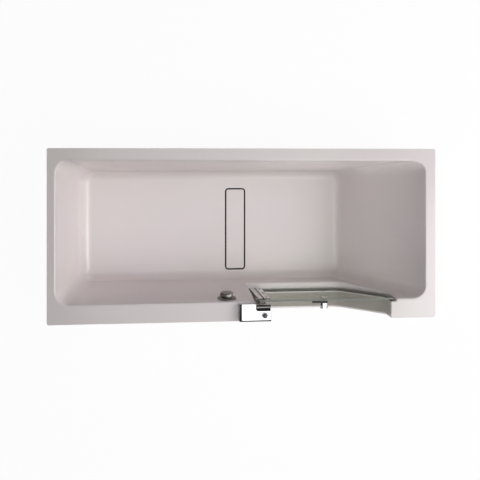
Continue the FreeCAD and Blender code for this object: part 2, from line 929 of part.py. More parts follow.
# Pivot pin and the locking collar on its upper end
BASE_TOP = "(rim_height + base_thick)"
COLLAR_LOW = f"({BASE_TOP} + 1)"
COLLAR_TOP = f"({COLLAR_LOW} + collar_thick)"
keep(
    rod(
        "pin_upper",
        "pin_radius",
        (AXIS_X, AXIS_Y, f"{BARREL_TOP} - 32"),
        f"{COLLAR_TOP} - {BARREL_TOP} + 32",
    ),
    "pivot_pin",
)
collar_ring = ring(
    "collar_ring",
    "pin_radius",
    "collar_radius",
    (AXIS_X, AXIS_Y, COLLAR_LOW),
    "collar_thick",
)
NOTCH = [
    ("-bolt_width / 2 - 0.5", "-collar_radius - 1"),
    ("bolt_width / 2 + 0.5", "-collar_radius - 1"),
    ("bolt_width / 2 + 0.5", "collar_notch - collar_radius"),
    ("-bolt_width / 2 - 0.5", "collar_notch - collar_radius"),
]
collar_notches = []
for i, angle in enumerate(("0", "-door_open")):
    notch = prism(f"collar_notch_{i}", "XY_Plane", f"{COLLAR_LOW} - 1", f"{COLLAR_TOP} + 1", NOTCH)
    turn(notch, (0, 0, 1), number(angle))
    place(notch, AXIS_X, AXIS_Y, "0")
    collar_notches.append(notch)
keep(cut("collar_cut", collar_ring, *collar_notches), "lock_collar")

# Hinge block on the rim with the lock inside it
BLOCK_L = "jamb_left - block_left"
BLOCK_R = "jamb_left + block_right"
BLOCK_F = f"{FRONT} + block_front"
BLOCK_B = f"{FRONT} + block_back"
NOTCH_X = "jamb_left - notch_left"
NOTCH_Y = f"{FRONT} + notch_front"
STEP_B = f"{FRONT} + step_back"
BLOCK_TOP = "(rim_height + block_height)"
LOCK_X = "(jamb_left - lock_side)"
LOCK_Y = f"({FRONT} + lock_front)"
SWAY = "(crank_throw * sin(45 deg))"


def block_plan(notch_y):
    return [
        (BLOCK_L, BLOCK_F),
        (BLOCK_R, BLOCK_F),
        (BLOCK_R, notch_y),
        (NOTCH_X, notch_y),
        (NOTCH_X, BLOCK_B),
        (BLOCK_L, BLOCK_B),
    ]


EDGES = [(index, "block_edge") for index in (0, 1, 2, 4, 5)]
block_raw = prism(
    "block_raw", "XY_Plane", BASE_TOP, BLOCK_TOP, block_plan(NOTCH_Y), EDGES + [(3, "notch_corner")]
)
round_edges(block_raw, at_level(BLOCK_TOP), "block_edge / 2")
step_raw = prism(
    "step_raw",
    "YZ_Plane",
    f"{NOTCH_X} - 1",
    BLOCK_R,
    [
        (f"{NOTCH_Y} - 4", BASE_TOP),
        (STEP_B, BASE_TOP),
        (STEP_B, "rim_height + step_height"),
        (f"{NOTCH_Y} - 4", "rim_height + step_height"),
    ],
    [(2, "step_round")],
)
yoke_room = box(
    "yoke_room",
    (f"{AXIS_X} - bolt_width / 2 - 0.3", f"{LOCK_X} + 11"),
    (f"{LOCK_Y} - {SWAY} - yoke_half - 0.7", f"{LOCK_Y} + {SWAY} + yoke_half + 0.7"),
    (f"{BASE_TOP} - 1", f"{BASE_TOP} + bolt_thick + 5.5"),
)
bolt_room = box(
    "bolt_room",
    (f"{AXIS_X} - bolt_width / 2 - 0.3", f"{AXIS_X} + bolt_width / 2 + 0.3"),
    (LOCK_Y, f"{STEP_B} + 1"),
    (f"{BASE_TOP} - 1", f"{BASE_TOP} + bolt_thick + 0.4"),
)
spindle_bore = rod(
    "spindle_bore",
    "spindle_radius + run_fit",
    (LOCK_X, LOCK_Y, BASE_TOP),
    "block_height",
)
block_bores = [
    rod(f"block_bore_{i}", "block_screw", (x, y, f"{BASE_TOP} - 1"), "16") for i, (x, y) in enumerate(
        BLOCK_SCREWS,
    )
]
block_solid = join("block_solid", block_raw, step_raw)
keep(cut("block_cut", block_solid, yoke_room, bolt_room, spindle_bore, *block_bores), "hinge_block")

base_raw = prism("base_raw", "XY_Plane", "rim_height", BASE_TOP, block_plan(STEP_B), EDGES)
base_holes = [
    rod(f"base_hole_{i}", "block_screw + 0.2", (x, y, "rim_height - 1"), "base_thick + 2")
    for i, (x, y) in enumerate(BLOCK_SCREWS)
]
keep(cut("base_cut", base_raw, *base_holes), "hinge_base_plate")

block_screws = []
for i, (x, y) in enumerate(BLOCK_SCREWS):
    shank = rod(f"block_shank_{i}", "block_screw", (x, y, f"{RIM_UNDER} - 1"), "skin + base_thick + 15")
    cap = rod(f"block_cap_{i}", "block_screw + 3", (x, y, f"{RIM_UNDER} - 4"), "4")
    block_screws.append(join(f"block_screw_{i}", shank, cap))
keep(group("block_screw_set", block_screws), "block_screws")

YOKE_LOW = f"{LOCK_Y} - {SWAY} - yoke_half"
YOKE_HIGH = f"{LOCK_Y} - {SWAY} + yoke_half"
BOLT_TIP = f"{AXIS_Y} - collar_radius - 1.5"
bolt_raw = prism(
    "bolt_raw",
    "XY_Plane",
    f"{BASE_TOP} + 0.1",
    f"{BASE_TOP} + bolt_thick + 0.1",
    [
        (f"{AXIS_X} - bolt_width / 2", YOKE_LOW),
        (f"{LOCK_X} + 9.5", YOKE_LOW),
        (f"{LOCK_X} + 9.5", YOKE_HIGH),
        (f"{AXIS_X} + bolt_width / 2", YOKE_HIGH),
        (f"{AXIS_X} + bolt_width / 2", BOLT_TIP),
        (f"{AXIS_X} - bolt_width / 2", BOLT_TIP),
    ],
)
bolt_slot = box(
    "bolt_slot",
    (f"{LOCK_X} + {SWAY} - crank_pin - slot_clear", f"{LOCK_X} + crank_throw + crank_pin + slot_clear"),
    (f"{LOCK_Y} - {SWAY} - crank_pin - slot_clear", f"{LOCK_Y} - {SWAY} + crank_pin + slot_clear"),
    (f"{BASE_TOP} - 1", f"{BASE_TOP} + bolt_thick + 1"),
)
keep(cut("bolt_cut", bolt_raw, bolt_slot), "lock_bolt")

spindle_raw = turned(
    "spindle_raw",
    [
        ("0", "bolt_thick + 1"),
        ("crank_radius", "bolt_thick + 1"),
        ("crank_radius", "bolt_thick + 4"),
        ("spindle_radius", "bolt_thick + 4"),
        ("spindle_radius", "block_height - base_thick + 12"),
        ("0", "block_height - base_thick + 12"),
    ],
    (LOCK_X, LOCK_Y, BASE_TOP),
)
crank = rod(
    "crank",
    "crank_pin",
    (f"{LOCK_X} + {SWAY}", f"{LOCK_Y} - {SWAY}", f"{BASE_TOP} + 1"),
    "bolt_thick + 1",
)
keep(join("spindle_solid", spindle_raw, crank), "lock_spindle")

knob_raw = turned(
    "knob_raw",
    [
        ("spindle_radius", "0"),
        ("lock_knob_radius - 1", "0"),
        ("lock_knob_radius", "1"),
        ("lock_knob_radius", "lock_knob_height - 3"),
        ("lock_knob_radius - 3", "lock_knob_height"),
        ("0", "lock_knob_height"),
        ("0", "12 - touch_gap"),
        ("spindle_radius", "12 - touch_gap"),
    ],
    (LOCK_X, LOCK_Y, f"{BLOCK_TOP} + touch_gap"),
)
flutes = []
for i in range(10):
    spin = f"{36 * i} deg"
    flutes.append(
        rod(
            f"flute_{i}",
            "2.2",
            (
                f"{LOCK_X} + (lock_knob_radius + 1) * cos({spin})",
                f"{LOCK_Y} + (lock_knob_radius + 1) * sin({spin})",
                f"{BLOCK_TOP} + 3",
            ),
            "lock_knob_height + 5",
        )
    )
keep(cut("knob_cut", knob_raw, *flutes), "lock_knob")

# Door handle through the glass
HANDLE_IN = f"({GLASS_OUT} - washer_thick)"
LEVER_OUT = f"({HANDLE_IN} - lever_depth)"
HANDLE_OUT = f"({LEVER_OUT} - handle_depth)"


def upright_plate(name, xs, ys, zs, radius):
    corners = [(xs[0], zs[0]), (xs[1], zs[0]), (xs[1], zs[1]), (xs[0], zs[1])]
    return prism(name, "XZ_Plane", ys[0], ys[1], corners, [(index, radius) for index in range(4)])


def at_depth(level):
    depth = number(level)

    def test(edge):
        return all(abs(vertex.Point.y - depth) < 1e-4 for vertex in edge.Vertexes)

    return test


grip = upright_plate(
    "grip",
    ("handle_at - handle_width / 2", "handle_at + handle_width / 2"),
    (HANDLE_OUT, LEVER_OUT),
    (f"{HANDLE_Z} - handle_tall / 2", f"{HANDLE_Z} + handle_tall / 2"),
    "grip_round",
)
round_edges(grip, at_depth(HANDLE_OUT), "handle_round / 2")
lever = upright_plate(
    "lever",
    ("handle_at + handle_width / 2 - lever_width", "handle_at + handle_width / 2"),
    (LEVER_OUT, HANDLE_IN),
    (f"{HANDLE_Z} - lever_tall / 2", f"{HANDLE_Z} + lever_tall / 2"),
    "handle_round",
)
grip_bore = rod(
    "grip_bore",
    "stud_radius",
    ("handle_at", f"{LEVER_OUT} - stud_bite", HANDLE_Z),
    "lever_depth + stud_bite + 1",
    "y",
)
keep(cut("grip_cut", join("grip_solid", grip, lever), grip_bore), "outer_handle")

PULL_IN = f"({GLASS_IN} + washer_thick)"
pull = upright_plate(
    "pull",
    ("handle_at - pull_width / 2", "handle_at + pull_width / 2"),
    (PULL_IN, f"{PULL_IN} + pull_thick"),
    (f"{HANDLE_Z} - pull_tall / 2", f"{HANDLE_Z} + pull_tall / 2"),
    "handle_round",
)
round_edges(pull, at_depth(f"{PULL_IN} + pull_thick"), "handle_round / 2")
pull_bore = rod(
    "pull_bore", "stud_radius", ("handle_at", f"{PULL_IN} - 1", HANDLE_Z), "pull_bite + 1", "y"
)
keep(cut("pull_cut", pull, pull_bore), "inner_handle")

washers = []
for i, start in enumerate((HANDLE_IN, GLASS_IN)):
    disc = rod(
        f"washer_disc_{i}",
        "stud_radius + 6",
        ("handle_at", start, HANDLE_Z),
        "washer_thick",
        "y",
    )
    hole = rod(
        f"washer_hole_{i}",
        "stud_radius",
        ("handle_at", f"{start} - 1", HANDLE_Z),
        "washer_thick + 2",
        "y",
    )
    washers.append(cut(f"washer_{i}", disc, hole))
keep(group("washer_set", washers), "handle_washers")
keep(
    rod(
        "stud_rod",
        "stud_radius",
        ("handle_at", f"{LEVER_OUT} - stud_bite", HANDLE_Z),
        f"{PULL_IN} + pull_bite - {LEVER_OUT} + stud_bite",
        "y",
    ),
    "handle_stud",
)

# Drain channel in the floor
TRAY_X = grown(RECESS_X, "-touch_gap")
TRAY_Y = grown(RECESS_Y, "-touch_gap")
tray_outer = plate(
    "tray_outer", TRAY_X, TRAY_Y, (RECESS, f"{FLOOR} - 3"), "cover_corner + cover_gap - touch_gap"
)
tray_inner = plate(
    "tray_inner",
    grown(TRAY_X, "-tray_thick"),
    grown(TRAY_Y, "-tray_thick"),
    (TRAY_TOP, f"{FLOOR} + 1"),
    "cover_corner + cover_gap - touch_gap - tray_thick",
)
tray_hole = rod(
    "tray_hole",
    "waste_neck + touch_gap",
    ("cover_at", WASTE_Y, f"{RECESS} - 1"),
    "tray_thick + 2",
)
keep(cut("tray_cut", tray_outer, tray_inner, tray_hole), "drain_tray")

COVER_X = ("cover_at - cover_width / 2", "cover_at + cover_width / 2")
COVER_Y = ("cover_back - cover_length / 2", "cover_back + cover_length / 2")
cover_body = plate("cover_body", COVER_X, COVER_Y, (f"{FLOOR} - cover_thick", FLOOR), "cover_corner")
round_edges(cover_body, at_level(FLOOR), "1.5")
keep(cover_body, "drain_cover")
feet = []
for i, (sx, sy) in enumerate(((-1, -1), (1, -1), (1, 1), (-1, 1))):
    spot = (
        f"cover_at + {sx} * (cover_width / 2 - 14)",
        f"cover_back + {sy} * (cover_length / 2 - 16)",
        TRAY_TOP,
    )
    feet.append(rod(f"cover_foot_{i}", "8", spot, f"{FLOOR} - cover_thick - {TRAY_TOP}"))
keep(group("cover_foot_set", feet), "cover_feet")

# Waste: flange with its guide, plug, trap and outlet
WASTE = ("cover_at", WASTE_Y, TRAY_TOP)
WASTE_BORE = "(waste_neck - waste_wall)"
flange_ring = turned(
    "flange_ring",
    [
        (WASTE_BORE, "-22"),
        ("waste_neck", "-22"),
        ("waste_neck", "0"),
        ("waste_flange", "0"),
        ("waste_flange", "1.2"),
        ("waste_flange - 1", "2"),
        (WASTE_BORE, "2"),
    ],
    WASTE,
)
guide_bar = box(
    "guide_bar",
    (f"cover_at - {WASTE_BORE} - 1", f"cover_at + {WASTE_BORE} + 1"),
    (f"{WASTE_Y} - 3", f"{WASTE_Y} + 3"),
    (f"{TRAY_TOP} - 20", f"{TRAY_TOP} - 12"),
)
guide_hub = rod("guide_hub", "plug_stem + 4", ("cover_at", WASTE_Y, f"{TRAY_TOP} - 20"), "8")
guide_bore = rod("guide_bore", "plug_stem + run_fit", ("cover_at", WASTE_Y, f"{TRAY_TOP} - 25"), "20")
keep(
    cut("flange_cut", join("flange_solid", flange_ring, guide_bar, guide_hub), guide_bore),
    "waste_flange",
)
keep(
    turned(
        "plug_body",
        [
            ("0", "-34"),
            ("plug_stem", "-34"),
            ("plug_stem", "3.5"),
            ("plug_radius", "3.5"),
            ("plug_radius", "2.5 + plug_thick"),
            ("plug_radius - 2", "3.5 + plug_thick"),
            ("0", "3.5 + plug_thick"),
        ],
        WASTE,
    ),
    "drain_plug",
)
keep(
    ring(
        "plug_ring",
        f"{WASTE_BORE} + 2",
        "plug_radius - 1",
        ("cover_at", WASTE_Y, f"{TRAY_TOP} + 2.05"),
        "1.45",
    ),
    "plug_seal",
)

PIPE_Y = f"({OVERFLOW_Y} - 23 * cos({TILT}))"
run_x = number("cover_at - overflow_at")
run_y = number(f"{WASTE_Y} - {PIPE_Y}")
heading = Vector(run_x, run_y, 0)
HEADING = f"atan2({WASTE_Y} - {PIPE_Y}; cover_at - overflow_at)"
RUN = f"sqrt((cover_at - overflow_at) ^ 2 + ({WASTE_Y} - {PIPE_Y}) ^ 2)"


def level_rod(name, radius, start, length, direction):
    obj = doc.addObject("Part::Cylinder", name)
    obj.setExpression("Radius", bound(radius))
    obj.setExpression("Height", bound(length))
    obj.Placement = FreeCAD.Placement(Vector(), FreeCAD.Rotation(Vector(0, 0, 1), direction))
    place(obj, *start)
    return obj


def along_run(distance, level):
    return (
        f"overflow_at + ({distance}) * cos({HEADING})",
        f"{PIPE_Y} + ({distance}) * sin({HEADING})",
        level,
    )


trap_outer = turned(
    "trap_outer",
    [
        ("0", "trap_bottom"),
        ("trap_radius", "trap_bottom"),
        ("trap_radius", "trap_bottom + 54"),
        ("waste_neck + 6", "trap_bottom + 60"),
        ("waste_neck + 6", RECESS_UNDER),
        ("0", RECESS_UNDER),
    ],
    ("cover_at", WASTE_Y, "0"),
)
trap_inner = turned(
    "trap_inner",
    [
        ("0", "trap_bottom + trap_wall"),
        ("trap_radius - trap_wall", "trap_bottom + trap_wall"),
        ("trap_radius - trap_wall", "trap_bottom + 52"),
        ("waste_neck + 0.2", "trap_bottom + 57"),
        ("waste_neck + 0.2", f"{RECESS_UNDER} + 1"),
        ("0", f"{RECESS_UNDER} + 1"),
    ],
    ("cover_at", WASTE_Y, "0"),
)
inlet = level_rod(
    "inlet",
    "pipe_radius + 3",
    along_run(f"{RUN} - trap_radius - 30", "branch_level"),
    "60",
    heading,
)
inlet_bore = level_rod(
    "inlet_bore",
    "pipe_radius + run_fit",
    along_run(f"{RUN} - trap_radius - 31", "branch_level"),
    "50",
    heading,
)
outlet = rod(
    "outlet",
    "outlet_radius + 3",
    ("cover_at", f"{WASTE_Y} + 20", "outlet_level"),
    "trap_radius + 10",
    "y",
)
outlet_bore = rod(
    "outlet_bore",
    "outlet_radius + run_fit",
    ("cover_at", f"{WASTE_Y} + 30", "outlet_level"),
    "trap_radius + 10",
    "y",
)
trap_solid = join("trap_solid", trap_outer, inlet, outlet)
trap = keep(cut("trap_cut", trap_solid, trap_inner, inlet_bore, outlet_bore), "waste_trap")

outlet_outside = rod(
    "outlet_outside",
    "outlet_radius",
    ("cover_at", f"{WASTE_Y} + trap_radius - 4", "outlet_level"),
    f"{BACK} - outlet_end - {WASTE_Y} - trap_radius + 4",
    "y",
)
outlet_inside = rod(
    "outlet_inside",
    "outlet_radius - pipe_wall",
    ("cover_at", WASTE_Y, "outlet_level"),
    "tub_width",
    "y",
)
outlet_stop = rod(
    "outlet_stop",
    "outlet_radius + 3",
    ("cover_at", f"{BACK} - outlet_end - outlet_free - 3", "outlet_level"),
    "3",
    "y",
)
outlet_solid = join("outlet_solid", outlet_outside, outlet_stop)
keep(cut("outlet_cut", outlet_solid, outlet_inside), "outlet_pipe")

# Overflow on the front wall
SEAT = "(-skin)"
FLANGE_OUT = f"({SEAT} - gasket_thick)"
HOUSE_END = "(-housing_deep)"
gasket = turned(
    "gasket",
    [
        ("overflow_bore + 1", FLANGE_OUT),
        ("overflow_bore + 12", FLANGE_OUT),
        ("overflow_bore + 12", SEAT),
        ("overflow_bore + 1", SEAT),
    ],
)
keep(on_overflow(gasket), "overflow_gasket")
cup_outer = turned(
    "cup_outer",
    [
        ("0", HOUSE_END),
        ("overflow_bore + 4", HOUSE_END),
        ("overflow_bore + 4", f"{FLANGE_OUT} - 4"),
        ("overflow_bore + 12", f"{FLANGE_OUT} - 4"),
        ("overflow_bore + 12", FLANGE_OUT),
        ("0", FLANGE_OUT),
    ],
)
cup_inner = turned(
    "cup_inner",
    [
        ("0", f"{HOUSE_END} + 3"),
        ("overflow_bore + 1", f"{HOUSE_END} + 3"),
        ("overflow_bore + 1", f"{FLANGE_OUT} + 1"),
        ("0", f"{FLANGE_OUT} + 1"),
    ],
)
cup_bore = turned(
    "cup_bore",
    [
        ("0", f"{HOUSE_END} - 1"),
        ("shaft_radius + run_fit", f"{HOUSE_END} - 1"),
        ("shaft_radius + run_fit", f"{HOUSE_END} + 5"),
        ("0", f"{HOUSE_END} + 5"),
    ],
)
for item in (cup_outer, cup_inner, cup_bore):
    on_overflow(item)
PIPE_TOP = f"({OVERFLOW_Z} - 34)"
spigot = rod("spigot", "pipe_radius + 3", ("overflow_at", PIPE_Y, f"{PIPE_TOP} - 36"), "50")
spigot_bore = rod(
    "spigot_bore",
    "pipe_radius + run_fit",
    ("overflow_at", PIPE_Y, f"{PIPE_TOP} - 37"),
    "37",
)
spigot_throat = rod(
    "spigot_throat",
    "pipe_radius - pipe_wall",
    ("overflow_at", PIPE_Y, f"{PIPE_TOP} - 1"),
    "20",
)
housing_solid = join("housing_solid", cup_outer, spigot)
housing = cut("housing_cut", housing_solid, cup_inner, cup_bore, spigot_bore, spigot_throat)
keep(housing, "overflow_housing")

face_raw = turned(
    "face_raw",
    [
        ("shaft_radius + run_fit", f"{HOUSE_END} + 3"),
        ("shaft_radius + 4", f"{HOUSE_END} + 3"),
        ("shaft_radius + 4", "0"),
        ("face_radius", "0"),
        ("face_radius", "2"),
        ("face_radius - 6", "face_thick"),
        ("shaft_radius + run_fit", "face_thick"),
    ],
)
on_overflow(face_raw)
face_holes = []
for i in range(6):
    hole_body = new_body(f"face_hole_{i}")
    hole_sketch = new_sketch(hole_body, "XY_Plane", "-5")
    circle(hole_sketch, f"17 * cos({60 * i} deg)", f"17 * sin({60 * i} deg)", "5.5")
    pad(hole_body, hole_sketch, "face_thick + 10")
    face_holes.append(on_overflow(hole_body))
keep(cut("face_cut", face_raw, *face_holes), "overflow_face")

dial_raw = turned(
    "dial_raw",
    [
        ("0", f"{HOUSE_END} - 3"),
        ("shaft_radius", f"{HOUSE_END} - 3"),
        ("shaft_radius", "face_thick + touch_gap"),
        ("shaft_radius + 6", "face_thick + touch_gap"),
        ("shaft_radius + 6", "face_thick + 4"),
        ("dial_radius", "face_thick + 4"),
        ("dial_radius", "dial_depth - 4"),
        ("dial_radius - 4", "dial_depth"),
        ("0", "dial_depth"),
    ],
)
on_overflow(dial_raw)
scallops = []
for i in range(3):
    scallop = new_body(f"scallop_{i}")
    scallop_sketch = new_sketch(scallop, "XY_Plane", "face_thick + 3")
    circle(
        scallop_sketch,
        f"(dial_radius + 9) * cos({90 + 120 * i} deg)",
        f"(dial_radius + 9) * sin({90 + 120 * i} deg)",
        "14",
    )
    pad(scallop, scallop_sketch, "dial_depth + 5")
    scallops.append(on_overflow(scallop))
keep(cut("dial_cut", dial_raw, *scallops), "waste_knob")

BEND_TOP = "(branch_level + elbow_radius)"
pipe_outside = rod(
    "pipe_outside",
    "pipe_radius",
    ("overflow_at", PIPE_Y, BEND_TOP),
    f"{PIPE_TOP} - {BEND_TOP}",
)
pipe_inside = rod(
    "pipe_inside",
    "pipe_radius - pipe_wall",
    ("overflow_at", PIPE_Y, f"{BEND_TOP} - 1"),
    f"{PIPE_TOP} - {BEND_TOP} + 2",
)
keep(cut("pipe_cut", pipe_outside, pipe_inside), "overflow_pipe")


# Quarter bend from upright to level, heading along the given direction
def bend(name, radius, sweep, at, direction):
    body = new_body(name)
    sketch = new_sketch(body, "XY_Plane")
    circle(sketch, "0", "0", radius)
    axis = sketch.addGeometry(
        Part.LineSegment(Vector(number(sweep), 0, 0), Vector(number(sweep), 10, 0)),
        True,
    )
    pin_point(sketch, axis, 1, sweep, "0")
    pin_point(sketch, axis, 2, sweep, "10")
    feature = body.newObject("PartDesign::Revolution", name + "_turn")
    feature.Profile = sketch
    feature.ReferenceAxis = (sketch, ["Axis0"])
    feature.Angle = 90
    doc.recompute()
    if feature.Shape.BoundBox.ZMax > number(radius) + 1:
        feature.Reversed = True
        doc.recompute()
    body.Placement = FreeCAD.Placement(Vector(), FreeCAD.Rotation(Vector(1, 0, 0), direction))
    place(body, *at)
    return body


elbow_outer = bend(
    "elbow_outer",
    "pipe_radius + 3",
    "elbow_radius",
    ("overflow_at", PIPE_Y, BEND_TOP),
    heading,
)
elbow_inner = bend(
    "elbow_inner",
    "pipe_radius - pipe_wall",
    "elbow_radius",
    ("overflow_at", PIPE_Y, BEND_TOP),
    heading,
)
socket_top = rod("socket_top", "pipe_radius + 3", ("overflow_at", PIPE_Y, BEND_TOP), "18")
socket_top_bore = rod(
    "socket_top_bore",
    "pipe_radius + run_fit",
    ("overflow_at", PIPE_Y, BEND_TOP),
    "20",
)
socket_end = level_rod(
    "socket_end",
    "pipe_radius + 3",
    along_run("elbow_radius", "branch_level"),
    "18",
    heading,
)
socket_end_bore = level_rod(
    "socket_end_bore", "pipe_radius + run_fit", along_run("elbow_radius", "branch_level"), "20", heading
)
elbow_solid = join("elbow_solid", elbow_outer, socket_top, socket_end)
keep(cut("elbow_cut", elbow_solid, elbow_inner, socket_top_bore, socket_end_bore), "overflow_elbow")
branch_outside = level_rod(
    "branch_outside",
    "pipe_radius",
    along_run("elbow_radius", "branch_level"),
    f"{RUN} - trap_radius - 2 - elbow_radius",
    heading,
)
branch_inside = level_rod(
    "branch_inside",
    "pipe_radius - pipe_wall",
    along_run("10", "branch_level"),
    RUN,
    heading,
)
keep(cut("branch_cut", branch_outside, branch_inside), "overflow_branch")

# Control cable from the overflow to the waste
CABLE_X = "(overflow_at - 24)"
CABLE_Z = f"({RECESS_UNDER} - 9)"
cable_run = Vector(number(f"cover_at - {CABLE_X}"), run_y, 0)
CABLE_HEAD = f"atan2({WASTE_Y} - {PIPE_Y}; cover_at - {CABLE_X})"
CABLE_BEND = f"({CABLE_Z} + elbow_radius)"
CABLE_LENGTH = f"sqrt((cover_at - {CABLE_X}) ^ 2 + ({WASTE_Y} - {PIPE_Y}) ^ 2)"
cable_drop = rod(
    "cable_drop",
    "cable_radius",
    (CABLE_X, PIPE_Y, CABLE_BEND),
    f"{OVERFLOW_Z} - {CABLE_BEND}",
)
cable_bend = bend(
    "cable_bend",
    "cable_radius",
    "elbow_radius",
    (CABLE_X, PIPE_Y, CABLE_BEND),
    cable_run,
)
cable_level = level_rod(
    "cable_level",
    "cable_radius",
    (
        f"{CABLE_X} + elbow_radius * cos({CABLE_HEAD})",
        f"{PIPE_Y} + elbow_radius * sin({CABLE_HEAD})",
        CABLE_Z,
    ),
    f"{CABLE_LENGTH} - elbow_radius - waste_neck - 1",
    cable_run,
)
cable_solid = join("cable_solid", cable_drop, cable_bend, cable_level)
keep(cut("cable_cut", cable_solid, cup_outer, trap_outer), "waste_cable")

# Support frame, posts and boards
RAIL_IN = f"({PANEL_IN} - frame_tube)"
SCREW_Z = f"({TUBE_LOW} + frame_tube / 2)"
ENDS = (f"-{END_IN}", END_IN)
front_tube = tube("front_tube", ENDS, (f"-{PANEL_IN}", f"-{RAIL_IN}"), (TUBE_LOW, TUBE_TOP), "x")
screw_holes = [
    rod(
        f"screw_hole_{i}",
        "panel_screw + 0.1",
        (str(x), f"-{PANEL_OUT} - 1", SCREW_Z),
        "panel_thick + tube_wall + 4",
        "y",
    )
    for i, x in enumerate(FRONT_SCREWS)
]
keep(cut("front_rail_cut", front_tube, *screw_holes), "front_rail")
keep(tube("back_tube", ENDS, (RAIL_IN, PANEL_IN), (TUBE_LOW, TUBE_TOP), "x"), "back_rail")
for label, x in CROSS_BARS.items():
    bar = tube(
        label + "_tube",
        (f"{x} - frame_tube / 2", f"{x} + frame_tube / 2"),
        (f"-{RAIL_IN}", RAIL_IN),
        (TUBE_LOW, TUBE_TOP),
        "y",
    )
    holes = [
        rod(
            f"{label}_hole_{i}",
            "foot_stud + 0.2",
            (str(x), f"{side} * foot_spread", f"{TUBE_LOW} - 1"),
            "tube_wall + 2",
        )
        for i, side in enumerate((-1, 1))
    ]
    keep(cut(label + "_cut", bar, *holes), label)


def post(name, x, front, top):
    low = f"3 - {PANEL_IN}" if front else f"{PANEL_IN} - 3 - post_tube"
    return tube(
        name,
        (f"{x} - post_tube / 2", f"{x} + post_tube / 2"),
        (low, f"{low} + post_tube"),
        (TUBE_TOP, top),
        "z",
    )


front_posts = [post(f"front_post_{i}", x, True, RIM_UNDER) for i, x in enumerate(FRONT_POSTS)]
keep(group("front_post_set", front_posts), "front_posts")
keep(post("sill_tube", SILL_POST, True, f"{SILL} - skin"), "sill_post")
back_posts = [post(f"back_post_{i}", x, False, RIM_UNDER) for i, x in enumerate(BACK_POSTS)]
keep(group("back_post_set", back_posts), "back_posts")

BOARD_Y = (f"{FRONT} + board_front", f"{BACK} - board_back")
keep(
    box(
        "board_one",
        (f"{LEFT} + board_left", f"{RECESS_X[0]} - skin - 4"),
        BOARD_Y,
        (TUBE_TOP, BOARD_TOP),
    ),
    "left_board",
)
keep(
    box(
        "board_two",
        (f"{RECESS_X[1]} + skin + 4", f"{RIGHT} - board_right"),
        BOARD_Y,
        (TUBE_TOP, BOARD_TOP),
    ),
    "right_board",
)

# Feet under the cross bars
pads = []
studs = []
nuts = []
for x in CROSS_BARS.values():
    for side in (-1, 1):
        tag = f"{len(pads)}"
        y = f"{side} * foot_spread"
        pads.append(
            turned(
                "foot_pad_" + tag,
                [
                    ("0", "0"),
                    ("foot_radius", "0"),
                    ("foot_radius", "foot_height / 2"),
                    ("foot_radius - 8", "foot_height"),
                    ("foot_stud + 0.1", "foot_height"),
                    ("foot_stud + 0.1", "foot_height / 2"),
                    ("0", "foot_height / 2"),
                ],
                (str(x), y, "0"),
            )
        )
        stud = rod(
            "foot_stud_" + tag,
            "foot_stud",
            (str(x), y, "foot_height / 2"),
            f"{TUBE_LOW} + frame_tube - 7 - foot_height / 2",
        )
        studs.append(stud)
        hexagon = doc.addObject("Part::Prism", "foot_hex_" + tag)
        hexagon.Polygon = 6
        hexagon.setExpression("Circumradius", bound("nut_radius"))
        hexagon.setExpression("Height", bound("nut_height"))
        place(hexagon, str(x), y, f"{TUBE_LOW} - nut_height")
        nuts.append(cut("foot_nut_" + tag, hexagon, stud))
keep(group("foot_pad_set", pads), "foot_pads")
keep(group("foot_stud_set", studs), "foot_studs")
keep(group("foot_nut_set", nuts), "foot_nuts")

# Panels around the frame
PANEL_Z = ("panel_gap", "rim_height - panel_top")
panel_sheet = box("panel_sheet", (f"-{END_OUT}", END_OUT), (f"-{PANEL_OUT}", f"-{PANEL_IN}"), PANEL_Z)
panel_gate = door_prism(
    "panel_gate", "(skin + 2)", "(skin + 2)", f"-{PANEL_OUT} - 5", f"-{PANEL_IN} + 5", OVER_TOP
)
keep(cut("panel_cut", panel_sheet, panel_gate, *screw_holes), "front_panel")
END_Y = (f"-{PANEL_IN}", PANEL_OUT)
keep(box("end_one", (f"-{END_OUT}", f"-{END_IN}"), END_Y, PANEL_Z), "left_panel")
keep(box("end_two", (END_IN, END_OUT), END_Y, PANEL_Z), "right_panel")
panel_screws = []
for i, x in enumerate(FRONT_SCREWS):
    shank = rod(
        f"panel_shank_{i}",
        "panel_screw",
        (str(x), f"-{PANEL_OUT} - 0.5", SCREW_Z),
        "panel_thick + tube_wall + 3",
        "y",
    )
    cap = rod(f"panel_cap_{i}", "panel_screw + 4", (str(x), f"-{PANEL_OUT} - 2", SCREW_Z), "2", "y")
    panel_screws.append(join(f"panel_screw_{i}", shank, cap))
keep(group("panel_screw_set", panel_screws), "panel_screws")

# Brackets that hold the bath to the wall
for label, x in (("left_wall_bracket", BACK_POSTS[0]), ("right_wall_bracket", BACK_POSTS[-1])):
    seat = f"({PANEL_IN} - 3)"
    near = f"{x} + post_tube / 2"
    profile = [
        (f"{x} - post_tube / 2", seat),
        (f"{near} + wall_plate", seat),
        (f"{near} + wall_plate", f"{BACK} - wall_plate"),
        (f"{near} + wall_plate + wall_pitch + 20", f"{BACK} - wall_plate"),
        (f"{near} + wall_plate + wall_pitch + 20", BACK),
        (near, BACK),
        (near, f"{seat} + wall_plate"),
        (f"{x} - post_tube / 2", f"{seat} + wall_plate"),
    ]
    strap = prism(label + "_strap", "XY_Plane", "wall_level", "wall_level + wall_tall", profile)
    holes = [
        rod(
            f"{label}_hole_{i}",
            "wall_hole",
            (
                f"{near} + wall_plate + 10 + {i} * wall_pitch",
                f"{BACK} - wall_plate - 1",
                "wall_level + wall_tall / 2",
            ),
            "wall_plate + 2",
            "y",
        )
        for i in range(2)
    ]
    keep(cut(label + "_cut", strap, *holes), label)

doc.recompute()
faulty = [obj.Label for obj in doc.Objects if "Invalid" in obj.State or "Error" in obj.State]
if faulty:
    raise RuntimeError("not built: " + ", ".join(faulty))

